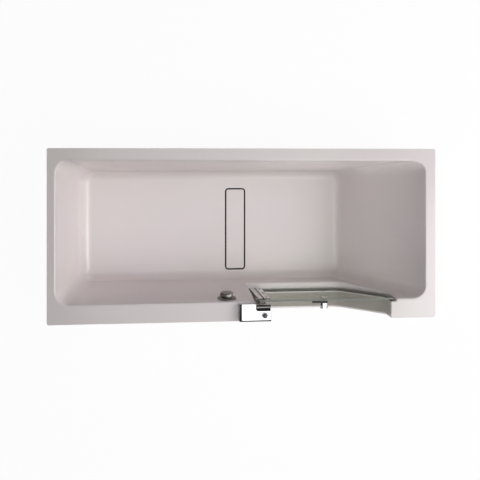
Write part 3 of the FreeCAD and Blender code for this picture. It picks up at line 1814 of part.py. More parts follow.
os.makedirs("parts", exist_ok=True)
for node in nodes:
    shape = node.Shape
    if not shape.isValid() or not shape.Solids or any(solid.Volume <= 0 for solid in shape.Solids):
        raise RuntimeError(node.Label + " has a faulty shape")
    shape.exportStep(f"parts/{node.Label}.step")
    print(node.Label, len(shape.Solids), round(shape.Volume))
print(len(nodes), "nodes")
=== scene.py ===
import json
import math

import bmesh
import bpy
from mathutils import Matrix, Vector


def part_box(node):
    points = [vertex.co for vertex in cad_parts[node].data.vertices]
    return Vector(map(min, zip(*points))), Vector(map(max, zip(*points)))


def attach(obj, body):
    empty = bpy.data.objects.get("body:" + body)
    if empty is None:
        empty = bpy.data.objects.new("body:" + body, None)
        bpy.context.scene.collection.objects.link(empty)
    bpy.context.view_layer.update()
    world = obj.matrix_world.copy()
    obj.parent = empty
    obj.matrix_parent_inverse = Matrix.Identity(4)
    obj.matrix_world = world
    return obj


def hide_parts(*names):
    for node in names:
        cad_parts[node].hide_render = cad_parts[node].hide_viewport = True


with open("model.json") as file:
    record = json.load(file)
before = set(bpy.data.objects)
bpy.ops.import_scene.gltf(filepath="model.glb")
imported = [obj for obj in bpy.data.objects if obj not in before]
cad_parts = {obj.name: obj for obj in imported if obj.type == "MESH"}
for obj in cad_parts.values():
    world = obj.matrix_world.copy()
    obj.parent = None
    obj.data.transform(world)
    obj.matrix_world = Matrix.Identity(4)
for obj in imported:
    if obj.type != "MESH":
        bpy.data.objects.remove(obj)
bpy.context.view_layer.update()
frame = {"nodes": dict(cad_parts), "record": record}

scene = bpy.context.scene
solids = frame["nodes"]
record = frame["record"]
bodyOf = {node: body for body, members in record["behaviour"]["bodies"].items() for node in members}
slotOf = {part["node"]: part["material_slot"] for part in record["subparts"]}
mm = 0.001


# Finishes: small helpers for node materials
def newFinish(name):
    mat = bpy.data.materials.new(name)
    mat.use_nodes = True
    return mat, mat.node_tree, mat.node_tree.nodes["Principled BSDF"]


def addNode(tree, kind, values=None, **props):
    node = tree.nodes.new(kind)
    for key, value in props.items():
        setattr(node, key, value)
    for key, value in (values or {}).items():
        node.inputs[key].default_value = value
    return node


def objectCoords(tree, scale=(1, 1, 1)):
    coords = addNode(tree, "ShaderNodeTexCoord")
    mapping = addNode(tree, "ShaderNodeMapping", {"Scale": scale})
    tree.links.new(coords.outputs["Object"], mapping.inputs["Vector"])
    return mapping.outputs["Vector"]


def noise(tree, vector, scale, detail=3.0):
    node = addNode(tree, "ShaderNodeTexNoise", {"Scale": scale, "Detail": detail})
    tree.links.new(vector, node.inputs["Vector"])
    return node.outputs["Fac"]


def cells(tree, vector, scale, output="Color", feature="F1"):
    node = addNode(tree, "ShaderNodeTexVoronoi", {"Scale": scale}, feature=feature)
    tree.links.new(vector, node.inputs["Vector"])
    return node.outputs[output]


# Colours at places along a ramp
def tint(tree, source, target, places, colours):
    node = addNode(tree, "ShaderNodeValToRGB")
    while len(node.color_ramp.elements) < len(places):
        node.color_ramp.elements.new(0.5)
    for element, place, colour in zip(node.color_ramp.elements, places, colours):
        element.position = place
        element.color = (*colour, 1)
    tree.links.new(source, node.inputs["Fac"])
    tree.links.new(node.outputs["Color"], target)


def spread(tree, source, target, low, high):
    node = addNode(tree, "ShaderNodeMapRange", {"To Min": low, "To Max": high})
    tree.links.new(source, node.inputs["Value"])
    tree.links.new(node.outputs["Result"], target)


# Each layer is (height source, depth in metres); later layers sit on the earlier ones
def relief(tree, shader, *layers):
    below = None
    for height, depth in layers:
        node = addNode(tree, "ShaderNodeBump", {"Strength": 1.0, "Distance": depth})
        tree.links.new(height, node.inputs["Height"])
        if below:
            tree.links.new(below, node.inputs["Normal"])
        below = node.outputs["Normal"]
    tree.links.new(below, shader.inputs["Normal"])


softRamp = (0.3, 0.7)

acrylicLook = {
    "body": (0.80, 0.732, 0.745),
    "warm": (0.785, 0.735, 0.715),
    "cloudScale": 2.6,
    "cloudRamp": (0.38, 0.62),
    "smearScale": 8,
    "smearStretch": (1, 3, 1),
    "roughness": (0.10, 0.20),
    "ior": 1.49,
    "waveScale": 4.5,
    "waveDepth": 0.5 * mm,
    "peelScale": 160.0,
    "peelDepth": 0.012 * mm,
}


def makeAcrylic(name, look):
    mat, tree, shader = newFinish(name)
    place = objectCoords(tree)
    clouds = noise(tree, place, look["cloudScale"], 5.0)
    smears = noise(tree, objectCoords(tree, look["smearStretch"]), look["smearScale"], 5.0)
    tint(tree, clouds, shader.inputs["Base Color"], look["cloudRamp"], (look["body"], look["warm"]))
    spread(tree, smears, shader.inputs["Roughness"], *look["roughness"])
    shader.inputs["IOR"].default_value = look["ior"]
    relief(tree, shader,
           (noise(tree, place, look["waveScale"], 1.0), look["waveDepth"]),
           (noise(tree, place, look["peelScale"], 2.0), look["peelDepth"]))
    return mat


fibreLook = {
    "resin": (0.42, 0.38, 0.31),
    "strand": (0.60, 0.57, 0.49),
    "ramp": (0.35, 0.75),
    "scale": 34.0,
    "stretch": (1, 2.6, 1.7),
    "roughness": (0.45, 0.8),
    "depth": 0.8 * mm,
}


# Chopped strands in resin on the hidden side of the shell
def makeFibreBacking():
    look = fibreLook
    mat, tree, shader = newFinish("fibreBacking")
    strands = cells(tree, objectCoords(tree, look["stretch"]), look["scale"], "Distance", "DISTANCE_TO_EDGE")
    mottle = noise(tree, objectCoords(tree), look["scale"] * 2, 6.0)
    blend = addNode(tree, "ShaderNodeMath", operation="ADD")
    tree.links.new(strands, blend.inputs[0])
    tree.links.new(mottle, blend.inputs[1])
    height = blend.outputs[0]
    tint(tree, height, shader.inputs["Base Color"], look["ramp"], (look["resin"], look["strand"]))
    spread(tree, mottle, shader.inputs["Roughness"], *look["roughness"])
    relief(tree, shader, (height, look["depth"]))
    return mat


chromeLook = {"body": (0.80, 0.81, 0.83), "filmed": 0.94, "filmScale": 90.0, "roughness": (0.03, 0.09)}
satinLook = {**chromeLook, "body": (0.30, 0.28, 0.265), "roughness": (0.36, 0.5)}
# Darker chrome: painted dark reflection on the shoulders of the hinge block and on the handle grip
darkReflectionChromeLook = {**chromeLook, "body": (0.20, 0.195, 0.19), "roughness": (0.05, 0.12)}


# Bright metal, a little darker where a film lies on it
def makeChrome(name, look):
    mat, tree, shader = newFinish(name)
    shader.inputs["Metallic"].default_value = 1
    film = noise(tree, objectCoords(tree), look["filmScale"], 5.0)
    filmed = [level * look["filmed"] for level in look["body"]]
    tint(tree, film, shader.inputs["Base Color"], softRamp, (filmed, look["body"]))
    spread(tree, film, shader.inputs["Roughness"], *look["roughness"])
    return mat


glassLook = {"body": (0.82, 0.85, 0.80), "roughness": (0.0, 0.03), "smearScale": 14, "ior": 1.04}


def makeGlass():
    look = glassLook
    mat, tree, shader = newFinish("glassClear")
    shader.inputs["Base Color"].default_value = (*look["body"], 1)
    shader.inputs["Transmission Weight"].default_value = 1
    shader.inputs["IOR"].default_value = look["ior"]
    smears = noise(tree, objectCoords(tree), look["smearScale"], 5.0)
    spread(tree, smears, shader.inputs["Roughness"], *look["roughness"])
    return mat


glassEdgeLook = {
    "dark": (0.17, 0.1845, 0.1628),
    "light": (0.20, 0.205, 0.185),
    "grindScale": 6,
    "grindStretch": (60, 400, 60),
    "roughness": (0.18, 0.32),
    "ior": 1.5,
}


# Ground edge of the pane, where the thickness of the glass shows as a dark green
def makeGlassEdge():
    look = glassEdgeLook
    mat, tree, shader = newFinish("glassEdge")
    grind = noise(tree, objectCoords(tree, look["grindStretch"]), look["grindScale"], 3.0)
    tint(tree, grind, shader.inputs["Base Color"], softRamp, (look["dark"], look["light"]))
    spread(tree, grind, shader.inputs["Roughness"], *look["roughness"])
    shader.inputs["IOR"].default_value = look["ior"]
    return mat


mouldedSpread = (-0.07, 0.09)  # roughness on both sides of its middle value


def makeMoulded(name, dark, light, roughness, grainScale=420.0, depth=0.05 * mm):
    mat, tree, shader = newFinish(name)
    grain = noise(tree, objectCoords(tree), grainScale, 4.0)
    tint(tree, grain, shader.inputs["Base Color"], softRamp, (dark, light))
    spread(tree, grain, shader.inputs["Roughness"], *(roughness + step for step in mouldedSpread))
    relief(tree, shader, (grain, depth))
    return mat


steelLook = {
    "dark": (0.50, 0.51, 0.52),
    "light": (0.66, 0.67, 0.68),
    "brushing": (60, 60, 900),
    "roughness": (0.2, 0.36),
}


def makeSteel():
    look = steelLook
    mat, tree, shader = newFinish("steelBright")
    streaks = noise(tree, objectCoords(tree, look["brushing"]), 1, 3.0)
    tint(tree, streaks, shader.inputs["Base Color"], softRamp, (look["dark"], look["light"]))
    shader.inputs["Metallic"].default_value = 1
    spread(tree, streaks, shader.inputs["Roughness"], *look["roughness"])
    return mat


zincLook = {
    "dark": (0.40, 0.41, 0.42),
    "light": (0.60, 0.61, 0.62),
    "ramp": (0.25, 0.75),
    "flowerScale": 65.0,
    "metallic": 0.85,
    "roughness": (0.34, 0.56),
    "grainScale": 240,
    "grainDepth": 0.08 * mm,
}


# Hot dipped zinc with its crystal flowers
def makeZinc():
    look = zincLook
    mat, tree, shader = newFinish("zincDipped")
    flowers = cells(tree, objectCoords(tree), look["flowerScale"])
    tint(tree, flowers, shader.inputs["Base Color"], look["ramp"], (look["dark"], look["light"]))
    shader.inputs["Metallic"].default_value = look["metallic"]
    spread(tree, flowers, shader.inputs["Roughness"], *look["roughness"])
    relief(tree, shader, (noise(tree, objectCoords(tree), look["grainScale"], 3.0), look["grainDepth"]))
    return mat


boardLook = {
    "chips": ((0.27, 0.18, 0.10), (0.48, 0.35, 0.21), (0.62, 0.49, 0.32)),
    "ramp": (0.15, 0.5, 0.85),
    "chipScale": 150.0,
    "chipStretch": (1, 2.4, 1),
    "roughness": (0.6, 0.85),
    "depth": 0.3 * mm,
}


def makeBoard():
    look = boardLook
    mat, tree, shader = newFinish("chipBoard")
    chips = cells(tree, objectCoords(tree, look["chipStretch"]), look["chipScale"])
    tint(tree, chips, shader.inputs["Base Color"], look["ramp"], look["chips"])
    spread(tree, chips, shader.inputs["Roughness"], *look["roughness"])
    relief(tree, shader, (chips, look["depth"]))
    return mat


panelLook = {**acrylicLook, "cloudScale": 1.4, "roughness": (0.12, 0.2), "waveScale": 2.4}

finishes = {
    "acrylic": makeAcrylic("acrylicGloss", acrylicLook),
    "panel": makeAcrylic("panelGloss", panelLook),
    "glass": makeGlass(),
    "chrome": makeChrome("chromePolished", chromeLook),
    "steel": makeSteel(),
    "zinc": makeZinc(),
    "rubber": makeMoulded("rubberBlack", (0.018, 0.017, 0.017), (0.032, 0.03, 0.03), 0.6, 700.0),
    "nylon": makeMoulded("nylonPale", (0.60, 0.60, 0.57), (0.70, 0.70, 0.67), 0.45),
    "pipe": makeMoulded("pipeGrey", (0.22, 0.23, 0.24), (0.28, 0.29, 0.30), 0.38, 300.0),
    # Near black drain tray: partly a dark liner, partly painted shade in the gap round the drain cover
    "tray": makeMoulded("trayDark", (0.010, 0.008, 0.009), (0.018, 0.014, 0.015), 0.62),
    "cable": makeMoulded("sheathBlack", (0.010, 0.010, 0.011), (0.018, 0.018, 0.019), 0.45, 900.0),
    "board": makeBoard(),
}
fibreBacking = makeFibreBacking()
glassEdge = makeGlassEdge()
sealRubber = makeMoulded("rubberSeal", (0.022, 0.016, 0.013), (0.036, 0.027, 0.023), 0.55, 600.0)
# Grey that paints the shade on the sill tread and on the top of the inner pad
sillGrey = makeMoulded("sillGrey", (0.36, 0.34, 0.31), (0.44, 0.412, 0.375), 0.6, 380.0)
capDark = makeMoulded("capDark", (0.075, 0.068, 0.075), (0.105, 0.096, 0.105), 0.22, 260.0, 0.01 * mm)
# Near black that paints dark reflection on the lever bar and shade on the top end of the hinge upright
leverDark = makeMoulded("leverDark", (0.020, 0.019, 0.018), (0.034, 0.032, 0.031), 0.3, 260.0, 0.01 * mm)
chromeSatin = makeChrome("chromeSatin", satinLook)
chromeShade = makeChrome("chromeShade", darkReflectionChromeLook)
# Dark grey that paints the shade in the notch of the hinge block on the upper bracket, its bush, the lock
# collar and the pivot pin
bearingGrey = makeMoulded("bearingGrey", (0.13, 0.118, 0.108), (0.18, 0.165, 0.152), 0.5, 300.0)
ownFinish = {
    "upper_bracket": bearingGrey,
    "upper_bush": bearingGrey,
    "lock_collar": bearingGrey,
    "pivot_pin": bearingGrey,
    "overflow_face": chromeSatin,
    "waste_knob": chromeSatin,
}
print("finishes made:", len(bpy.data.materials))

# Distances for joining corners, and angles in degrees for what counts as flat or sharp
meshLook = {
    "merge": 0.001 * mm,
    "sliver": 0.005 * mm,
    "flat": 0.5,
    "sharp": 32,
    "crease": 50,
    "stripCrease": 40,
    "normalWeight": 80,
}


# Shapes: copies of the solids with their edges worked
def pieceName(node):
    first, *rest = node.split("_")
    return first + "".join(word.capitalize() for word in rest)


def mergedCopy(node):
    bm = bmesh.new()
    bm.from_mesh(solids[node].data)
    bmesh.ops.remove_doubles(bm, verts=bm.verts, dist=meshLook["merge"])
    bmesh.ops.dissolve_limit(bm, angle_limit=math.radians(meshLook["flat"]), verts=bm.verts, edges=bm.edges)
    return bm


def sharpEdges(bm, angle=meshLook["sharp"]):
    limit = math.radians(angle)
    return [edge for edge in bm.edges if len(edge.link_faces) == 2 and edge.calc_face_angle() > limit]


def roundEdges(bm, edges, width, segments=2):
    bmesh.ops.bevel(bm, geom=edges, offset=width, offset_type="OFFSET", segments=segments, profile=0.5,
                    affect="EDGES", clamp_overlap=False)


# Smooth shading with flat faces kept flat, as a plain mesh
def settledMesh(name, bm):
    for face in bm.faces:
        face.smooth = True
    for edge in sharpEdges(bm, meshLook["crease"]):
        edge.smooth = False
    rough = bpy.data.meshes.new(name)
    bm.to_mesh(rough)
    bm.free()
    evening = {"weight": meshLook["normalWeight"], "keep_sharp": True}
    return evaluatedMesh(name, rough, ("WEIGHTED_NORMAL", evening))


def evaluatedMesh(name, mesh, modifier, inputs=None):
    kind, settings = modifier
    holder = bpy.data.objects.new(name + "Draft", mesh)
    scene.collection.objects.link(holder)
    step = holder.modifiers.new("work", kind)
    for key, value in settings.items():
        setattr(step, key, value)
    for key, value in (inputs or {}).items():
        step[key] = value
    result = bpy.data.meshes.new_from_object(holder.evaluated_get(bpy.context.evaluated_depsgraph_get()))
    holder.modifiers.remove(step)
    bpy.data.objects.remove(holder)
    result.name = name
    return result


def keepPiece(name, mesh, body, slot, *replaced):
    piece = bpy.data.objects.new(name, mesh)
    scene.collection.objects.link(piece)
    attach(piece, body)
    if replaced:
        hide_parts(*replaced)
    return piece


def dressNode(node, bm, *mats):
    mesh = settledMesh(pieceName(node), bm)
    for mat in mats or (ownFinish.get(node, finishes[slotOf[node]]),):
        mesh.materials.append(mat)
    return keepPiece(pieceName(node), mesh, bodyOf[node], slotOf[node], node)


# Edge rounding of the plain pieces, in millimetres
edgeRounding = {
    "front_panel": 1.0, "left_panel": 1.0, "right_panel": 1.0,
    "upper_bracket": 2.2, "lower_pivot": 0.8, "hinge_base_plate": 0.8, "clamp_buttons": 0.8,
    "lock_collar": 0.25,
    "overflow_face": 0.5, "waste_knob": 0.8, "waste_flange": 0.3, "drain_plug": 0.4,
    "pivot_pin": 0.4, "lock_bolt": 0.4, "lock_spindle": 0.3, "backing_plates": 0.5, "foot_nuts": 0.7,
    "left_wall_bracket": 0.5, "right_wall_bracket": 0.5, "foot_pads": 1.0, "cover_feet": 0.5,
    "waste_trap": 0.8, "overflow_housing": 0.6, "left_board": 0.8, "right_board": 0.8, "drain_tray": 0.4,
}
for node, width in edgeRounding.items():
    work = mergedCopy(node)
    roundEdges(work, sharpEdges(work), width * mm)
    dressNode(node, work)
print("edges rounded on", len(edgeRounding), "solids")

tubeLook = {"corner": 2.6 * mm, "shortest": 60 * mm, "segments": 3}


# Rolled corners along the frame's square tubes
def rollTubes():
    look = tubeLook
    tubes = [node for node, slot in slotOf.items() if slot == "zinc" and node not in edgeRounding]
    for node in tubes:
        work = mergedCopy(node)
        ridges = [edge for edge in sharpEdges(work)
                  if edge.is_convex and edge.calc_length() > look["shortest"]]
        roundEdges(work, ridges, look["corner"], look["segments"])
        dressNode(node, work)
    return len(tubes)


print("tubes rolled:", rollTubes())

shellLook = {"lipInset": 10 * mm, "doorMargin": 60 * mm, "underside": -0.25, "upright": 0.7}


# Gloss on the faces a bather sees, bare fibre on the hidden side
def dressShell():
    look = shellLook
    margin = look["doorMargin"]
    work = mergedCopy("tub_shell")
    low, high = (Vector(corner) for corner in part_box("tub_shell"))
    sealLow, sealHigh = (Vector(corner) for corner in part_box("opening_seal"))
    middle = (low + high) / 2
    for face in work.faces:
        spot = face.calc_center_median()
        inward = face.normal.x * (middle.x - spot.x) + face.normal.y * (middle.y - spot.y)
        inset = min(spot.x - low.x, high.x - spot.x, spot.y - low.y, high.y - spot.y)
        inDoor = (sealLow.x - margin < spot.x < sealHigh.x + margin
                  and spot.y < sealHigh.y and spot.z > sealLow.z - margin)
        hidden = face.normal.z < look["underside"]
        if inset >= look["lipInset"] and not inDoor and abs(face.normal.z) < look["upright"] and inward < 0:
            hidden = True
        face.material_index = 1 if hidden else 0
    return dressNode("tub_shell", work, finishes["acrylic"], fibreBacking)


dressShell()
print("shell dressed")

# Drain cover with a soft edge all round
coverLook = {"edge": 2.2 * mm, "segments": 4}
work = mergedCopy("drain_cover")
roundEdges(work, sharpEdges(work), coverLook["edge"], coverLook["segments"])
dressNode("drain_cover", work)

paneLook = {"arris": 0.9 * mm, "faceLimit": 0.95}


# Door pane: clear on its two faces, green on its ground edges
def dressPane():
    work = mergedCopy("door_glass")
    roundEdges(work, sharpEdges(work), paneLook["arris"])
    work.normal_update()
    for face in work.faces:
        face.material_index = 0 if abs(face.normal.y) > paneLook["faceLimit"] else 1
    return dressNode("door_glass", work, finishes["glass"], glassEdge)


stileLook = {"edge": 0.7 * mm, "capLimit": 0.6}


# Hinge upright whose top end is painted dark, as painted shade at the top of the hinge
def dressStile():
    work = mergedCopy("hinge_stile")
    roundEdges(work, sharpEdges(work), stileLook["edge"])
    work.normal_update()
    for face in work.faces:
        face.material_index = 1 if face.normal.z > stileLook["capLimit"] else 0
    return dressNode("hinge_stile", work, finishes[slotOf["hinge_stile"]], leverDark)


dressPane()
dressStile()
print("drain cover, door pane and hinge upright dressed")


# Cuts a solid across one axis, so that its faces can bend there
def addCuts(bm, axis, places):
    way = Vector((0, 0, 0))
    way[axis] = 1
    for place in places:
        everything = bm.verts[:] + bm.edges[:] + bm.faces[:]
        bmesh.ops.bisect_plane(bm, geom=everything, plane_co=way * place, plane_no=way)


# How far a circle has fallen at a distance from its top
def circleDrop(radius, out):
    return radius - math.sqrt(max(0.0, radius ** 2 - out ** 2))


# Carves an arched shoulder along a top edge: it falls away from the top by the given turn at the side
def archShoulder(bm, axis, side, width, turn, top, steps, before=None):
    inner = side + width
    radius = abs(width) / math.sin(math.radians(turn))
    addCuts(bm, axis, [inner - width * i / steps for i in range(steps)])
    for vert in bm.verts:
        inside = (inner - vert.co[axis]) * math.copysign(1, width)
        if inside > 0 and (before is None or vert.co.y < before):
            vert.co.z = min(vert.co.z, top - circleDrop(radius, inside))


# Moved corners can fall together, and the faces between them go
def dropSlivers(bm):
    bmesh.ops.remove_doubles(bm, verts=bm.verts[:], dist=meshLook["sliver"])
    bmesh.ops.dissolve_degenerate(bm, edges=bm.edges[:], dist=meshLook["sliver"])
    bm.normal_update()


# Each shoulder is (width, turn in degrees)
blockLook = {
    "left": (14.0 * mm, 42.0),
    "front": (10.0 * mm, 43.0),
    "right": (-6.0 * mm, 42.0),
    "sharp": 60,
    "otherRound": 0.6 * mm,
    "steps": 8,
    "notchX": 38.5 * mm,
    "stepTop": 597.0 * mm,
    "stepFront": -327.0 * mm,
    "stepBack": -303.5 * mm,
    "stepRise": 9.0 * mm,
    "stepRound": 11.0 * mm,
    "near": 0.1 * mm,
    "leaning": (0.28, 0.95),
}


# Low step behind the notch: it slopes up to the block in front and is rounded off at the back
def shapeStep(bm):
    look = blockLook
    radius = look["stepRound"]
    rise = look["stepRise"]
    back = look["stepBack"]
    top = look["stepTop"]
    steps = look["steps"]
    near = look["near"]
    cuts = [back - radius * (1 - math.cos(math.pi / 2 * i / steps)) for i in range(1, steps + 1)]
    addCuts(bm, 1, cuts + [look["stepFront"] + rise])
    for vert in bm.verts:
        if vert.co.x < look["notchX"] or vert.co.z > top + near:
            continue
        inside = radius - (back - vert.co.y)
        climb = rise - (vert.co.y - look["stepFront"])
        if 0 < inside < radius + near:
            vert.co.z = min(vert.co.z, top - circleDrop(radius, inside))
        elif 0 < climb < rise + near and vert.co.z > top - near:
            vert.co.z += climb


# Hinge block with arched shoulders on three sides; a darker chrome on them and on the low step is painted
# dark reflection
def dressBlock():
    look = blockLook
    work = mergedCopy("hinge_block")
    low, high = (Vector(corner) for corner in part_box("hinge_block"))
    for axis, side, edge in ((0, low.x, "left"), (1, low.y, "front"), (0, high.x, "right")):
        archShoulder(work, axis, side, *look[edge], high.z, look["steps"])
    shapeStep(work)
    dropSlivers(work)
    roundEdges(work, sharpEdges(work, look["sharp"]), look["otherRound"])
    dropSlivers(work)
    # Leaning shoulder faces and the low step get the darker chrome, as painted dark reflection
    steep, shallow = look["leaning"]
    for face in work.faces:
        spot = face.calc_center_median()
        onStep = spot.x > look["notchX"] and spot.y > look["stepFront"] + look["near"]
        shaded = face.normal.z > steep and (onStep or face.normal.z < shallow)
        face.material_index = 1 if shaded else 0
    return dressNode("hinge_block", work, finishes["chrome"], chromeShade)


handleLook = {
    "gripDepth": 24.0 * mm,
    "gripWidth": 33.0 * mm,
    "gripShoulder": (15.0 * mm, 42.0),
    "barInset": 4.0 * mm,
    "steps": 10,
    "near": 0.05 * mm,
    "leaning": (0.28, 0.97),
    "leftward": -0.5,
}


# Lever bar and inner pad are half round along their length, with a near black skin on the bar as painted
# dark reflection and a grey skin on the pad as painted shade; the grip falls away to its left, where a
# darker chrome is painted dark reflection
def dressHandles():
    look = handleLook
    outerLow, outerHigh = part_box("outer_handle")
    padLow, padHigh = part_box("inner_handle")
    inset = look["barInset"]
    steps = look["steps"]
    near = look["near"]
    steep, shallow = look["leaning"]
    bar = (outerLow[1] + look["gripDepth"], outerHigh[1], outerLow[2] + inset, outerHigh[2] - inset)
    pad = (padLow[1], padHigh[1], padLow[2], padHigh[2])
    halfRounds = {"outer_handle": (bar, leverDark), "inner_handle": (pad, sillGrey)}
    for node, ((front, back, bottom, top), skin) in halfRounds.items():
        work = mergedCopy(node)
        if node == "outer_handle":
            archShoulder(work, 0, outerHigh[0] - look["gripWidth"], *look["gripShoulder"], outerHigh[2],
                         steps, front - near)
        radius = (back - front) / 2
        middle = (back + front) / 2
        addCuts(work, 1, [middle - radius * math.cos(math.pi * i / steps) for i in range(1, steps)])
        for vert in work.verts:
            if vert.co.y > front - near and bottom - near < vert.co.z < top + near:
                drop = circleDrop(radius, vert.co.y - middle)
                vert.co.z = max(min(vert.co.z, top - drop), bottom + drop)
        dropSlivers(work)
        for face in work.faces:
            shaded = steep < face.normal.z < shallow or face.normal.x < look["leftward"]
            face.material_index = 2 if shaded else 0
            if face.calc_center_median().y > front + near:
                face.material_index = 1
        dressNode(node, work, finishes["chrome"], skin, chromeShade)


knobLook = {
    "sag": 4.5 * mm,
    "rings": 6,
    "ringReach": 0.8,
    "shoulder": 8.0 * mm,
    "capShare": 0.84,
    "flat": 0.99,
    "near": 0.05 * mm,
}


# Fluted lock knob with a domed top, dark inside its bright ring
def dressKnob():
    look = knobLook
    work = mergedCopy("lock_knob")
    low, high = (Vector(corner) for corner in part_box("lock_knob"))
    centre = (low + high) / 2
    radius = (high.x - low.x) / 2
    sphere = (radius ** 2 + look["sag"] ** 2) / (2 * look["sag"])

    def onTop(face):
        return face.normal.z > look["flat"] and high.z - face.calc_center_median().z < look["near"]

    def reach(vert):
        return math.hypot(vert.co.x - centre.x, vert.co.y - centre.y)

    cap = [face for face in work.faces if onTop(face)]
    ringWidth = radius * look["ringReach"] / (look["rings"] + 1)
    for ring in range(look["rings"]):
        bmesh.ops.inset_region(work, faces=cap, thickness=ringWidth)
        cap = [face for face in cap if face.is_valid]
    for face in work.faces:
        inCap = onTop(face) and max(reach(vert) for vert in face.verts) < radius * look["capShare"]
        face.material_index = 1 if inCap else 0
    for vert in work.verts:
        share = (vert.co.z - (high.z - look["shoulder"])) / look["shoulder"]
        if share > 0:
            vert.co.z -= share * circleDrop(sphere, reach(vert))
    return dressNode("lock_knob", work, finishes["chrome"], capDark)


dressBlock()
dressHandles()
dressKnob()
print("hinge, handles and knob dressed")


# Geometry Nodes: helpers
def newTree(name, sizes):
    tree = bpy.data.node_groups.new(name, "GeometryNodeTree")
    tree.interface.new_socket("Geometry", in_out="INPUT", socket_type="NodeSocketGeometry")
    tree.interface.new_socket("Geometry", in_out="OUTPUT", socket_type="NodeSocketGeometry")
    for label, kind in sizes.items():
        tree.interface.new_socket(label, in_out="INPUT", socket_type="NodeSocket" + kind)
    source = tree.nodes.new("NodeGroupInput").outputs
    return tree, source


# Ends a tree in real faces with their finish
def closeTree(tree, source, geometry):
    real = tree.nodes.new("GeometryNodeRealizeInstances")
    smooth = tree.nodes.new("GeometryNodeSetShadeSmooth")
    finish = tree.nodes.new("GeometryNodeSetMaterial")
    tree.links.new(geometry, real.inputs["Geometry"])
    tree.links.new(real.outputs["Geometry"], smooth.inputs["Geometry"])
    tree.links.new(smooth.outputs["Geometry"], finish.inputs["Geometry"])
    tree.links.new(source["Finish"], finish.inputs["Material"])
    tree.links.new(finish.outputs["Geometry"], tree.nodes.new("NodeGroupOutput").inputs["Geometry"])


def grow(name, seeds, tree, values):
    sockets = {item.name: item.identifier for item in tree.interface.items_tree if item.in_out == "INPUT"}
    inputs = {sockets[label]: value for label, value in values.items()}
    return evaluatedMesh(name, seeds, ("NODES", {"node_group": tree}), inputs)


# Points and edges that a tree starts from, with a value or a vector for each point
def seedMesh(name, points, edges=(), **values):
    mesh = bpy.data.meshes.new(name)
    mesh.from_pydata(points, edges, [])
    for label, items in values.items():
        plain = isinstance(items[0], float)
        layer = mesh.attributes.new(label, "FLOAT" if plain else "FLOAT_VECTOR", "POINT")
        for slot, item in zip(layer.data, items):
            setattr(slot, "value" if plain else "vector", item)
    return mesh


stripLook = {"bendSteps": 12}


# Strip of rubber that follows a path: a line of edges, rounded at its corners, with a drawn section
def stripTree():
    tree, source = newTree("rubberStrip", {"Section": "Object", "Finish": "Material"})
    path = tree.nodes.new("GeometryNodeMeshToCurve")
    bend = addNode(tree, "GeometryNodeInputNamedAttribute", {"Name": "bend"}, data_type="FLOAT")
    bent = addNode(tree, "GeometryNodeFilletCurve", {"Count": stripLook["bendSteps"]}, mode="POLY")
    aim = addNode(tree, "GeometryNodeSetCurveNormal", {"Normal": (0, 1, 0)}, mode="FREE")
    shape = tree.nodes.new("GeometryNodeObjectInfo")
    section = tree.nodes.new("GeometryNodeMeshToCurve")
    body = addNode(tree, "GeometryNodeCurveToMesh", {"Fill Caps": True})
    tree.links.new(source["Geometry"], path.inputs["Mesh"])
    tree.links.new(path.outputs["Curve"], bent.inputs["Curve"])
    tree.links.new(bend.outputs["Attribute"], bent.inputs["Radius"])
    tree.links.new(bent.outputs["Curve"], aim.inputs["Curve"])
    tree.links.new(source["Section"], shape.inputs["Object"])
    tree.links.new(shape.outputs["Geometry"], section.inputs["Mesh"])
    tree.links.new(aim.outputs["Curve"], body.inputs["Curve"])
    tree.links.new(section.outputs["Curve"], body.inputs["Profile Curve"])
    closeTree(tree, source, body.outputs["Mesh"])
    return tree


rubberStrip = stripTree()


# Lines are lists of (point, bend radius); the section is a closed loop of (outward, towards the back)
def runStrip(name, lines, section, finish):
    points = []
    bends = []
    edges = []
    for line in lines:
        edges += [(len(points) + i, len(points) + i + 1) for i in range(len(line) - 1)]
        points += [spot for spot, bend in line]
        bends += [bend for spot, bend in line]
    loop = [(i, (i + 1) % len(section)) for i in range(len(section))]
    drawn = seedMesh(name + "Section", [(back, -out, 0) for out, back in section], loop)
    profile = bpy.data.objects.new(name + "Section", drawn)
    scene.collection.objects.link(profile)
    mesh = grow(name, seedMesh(name + "Path", points, edges, bend=bends), rubberStrip,
                {"Section": profile, "Finish": finish})
    bpy.data.objects.remove(profile)
    return outwardMesh(mesh)


def outwardMesh(mesh):
    bm = bmesh.new()
    bm.from_mesh(mesh)
    bmesh.ops.remove_doubles(bm, verts=bm.verts, dist=meshLook["merge"])
    bmesh.ops.recalc_face_normals(bm, faces=bm.faces)
    for edge in sharpEdges(bm, meshLook["stripCrease"]):
        edge.smooth = False
    bm.to_mesh(mesh)
    bm.free()
    return mesh


doorLook = {
    "left": 86.0 * mm,
    "right": 646.0 * mm,
    "sill": 275.0 * mm,
    "bendX": 478.0 * mm,
    "slopeTop": 490.0 * mm,
    "leftCorner": 12.0 * mm,
    "bendCorner": 60.0 * mm,
    "endCorner": 15.0 * mm,
}


# Outline of the doorway, grown outwards, from the top of its left side round to the top of its right side
def doorwayLine(out, y, top):
    look = doorLook
    half = math.atan2(look["slopeTop"] - look["sill"], look["right"] - look["bendX"]) / 2
    left = look["left"] - out
    right = look["right"] + out
    sill = look["sill"] - out
    slopeTop = look["slopeTop"] - out * math.tan(math.pi / 4 - half)
    return [((left, y, top), 0.0),
            ((left, y, sill), look["leftCorner"] + out),
            ((look["bendX"] + out * math.tan(half), y, sill), look["bendCorner"] + out),
            ((right, y, slopeTop), look["endCorner"] + out),
            ((right, y, top), 0.0)]


sealLook = {
    "middle": 6.0 * mm,
    "half": 5.0 * mm,
    "taper": 0.94,
    "flange": 2.2 * mm,
    "bulb": 3.6 * mm,
    "bulbTurns": range(-35, 216, 25),
}


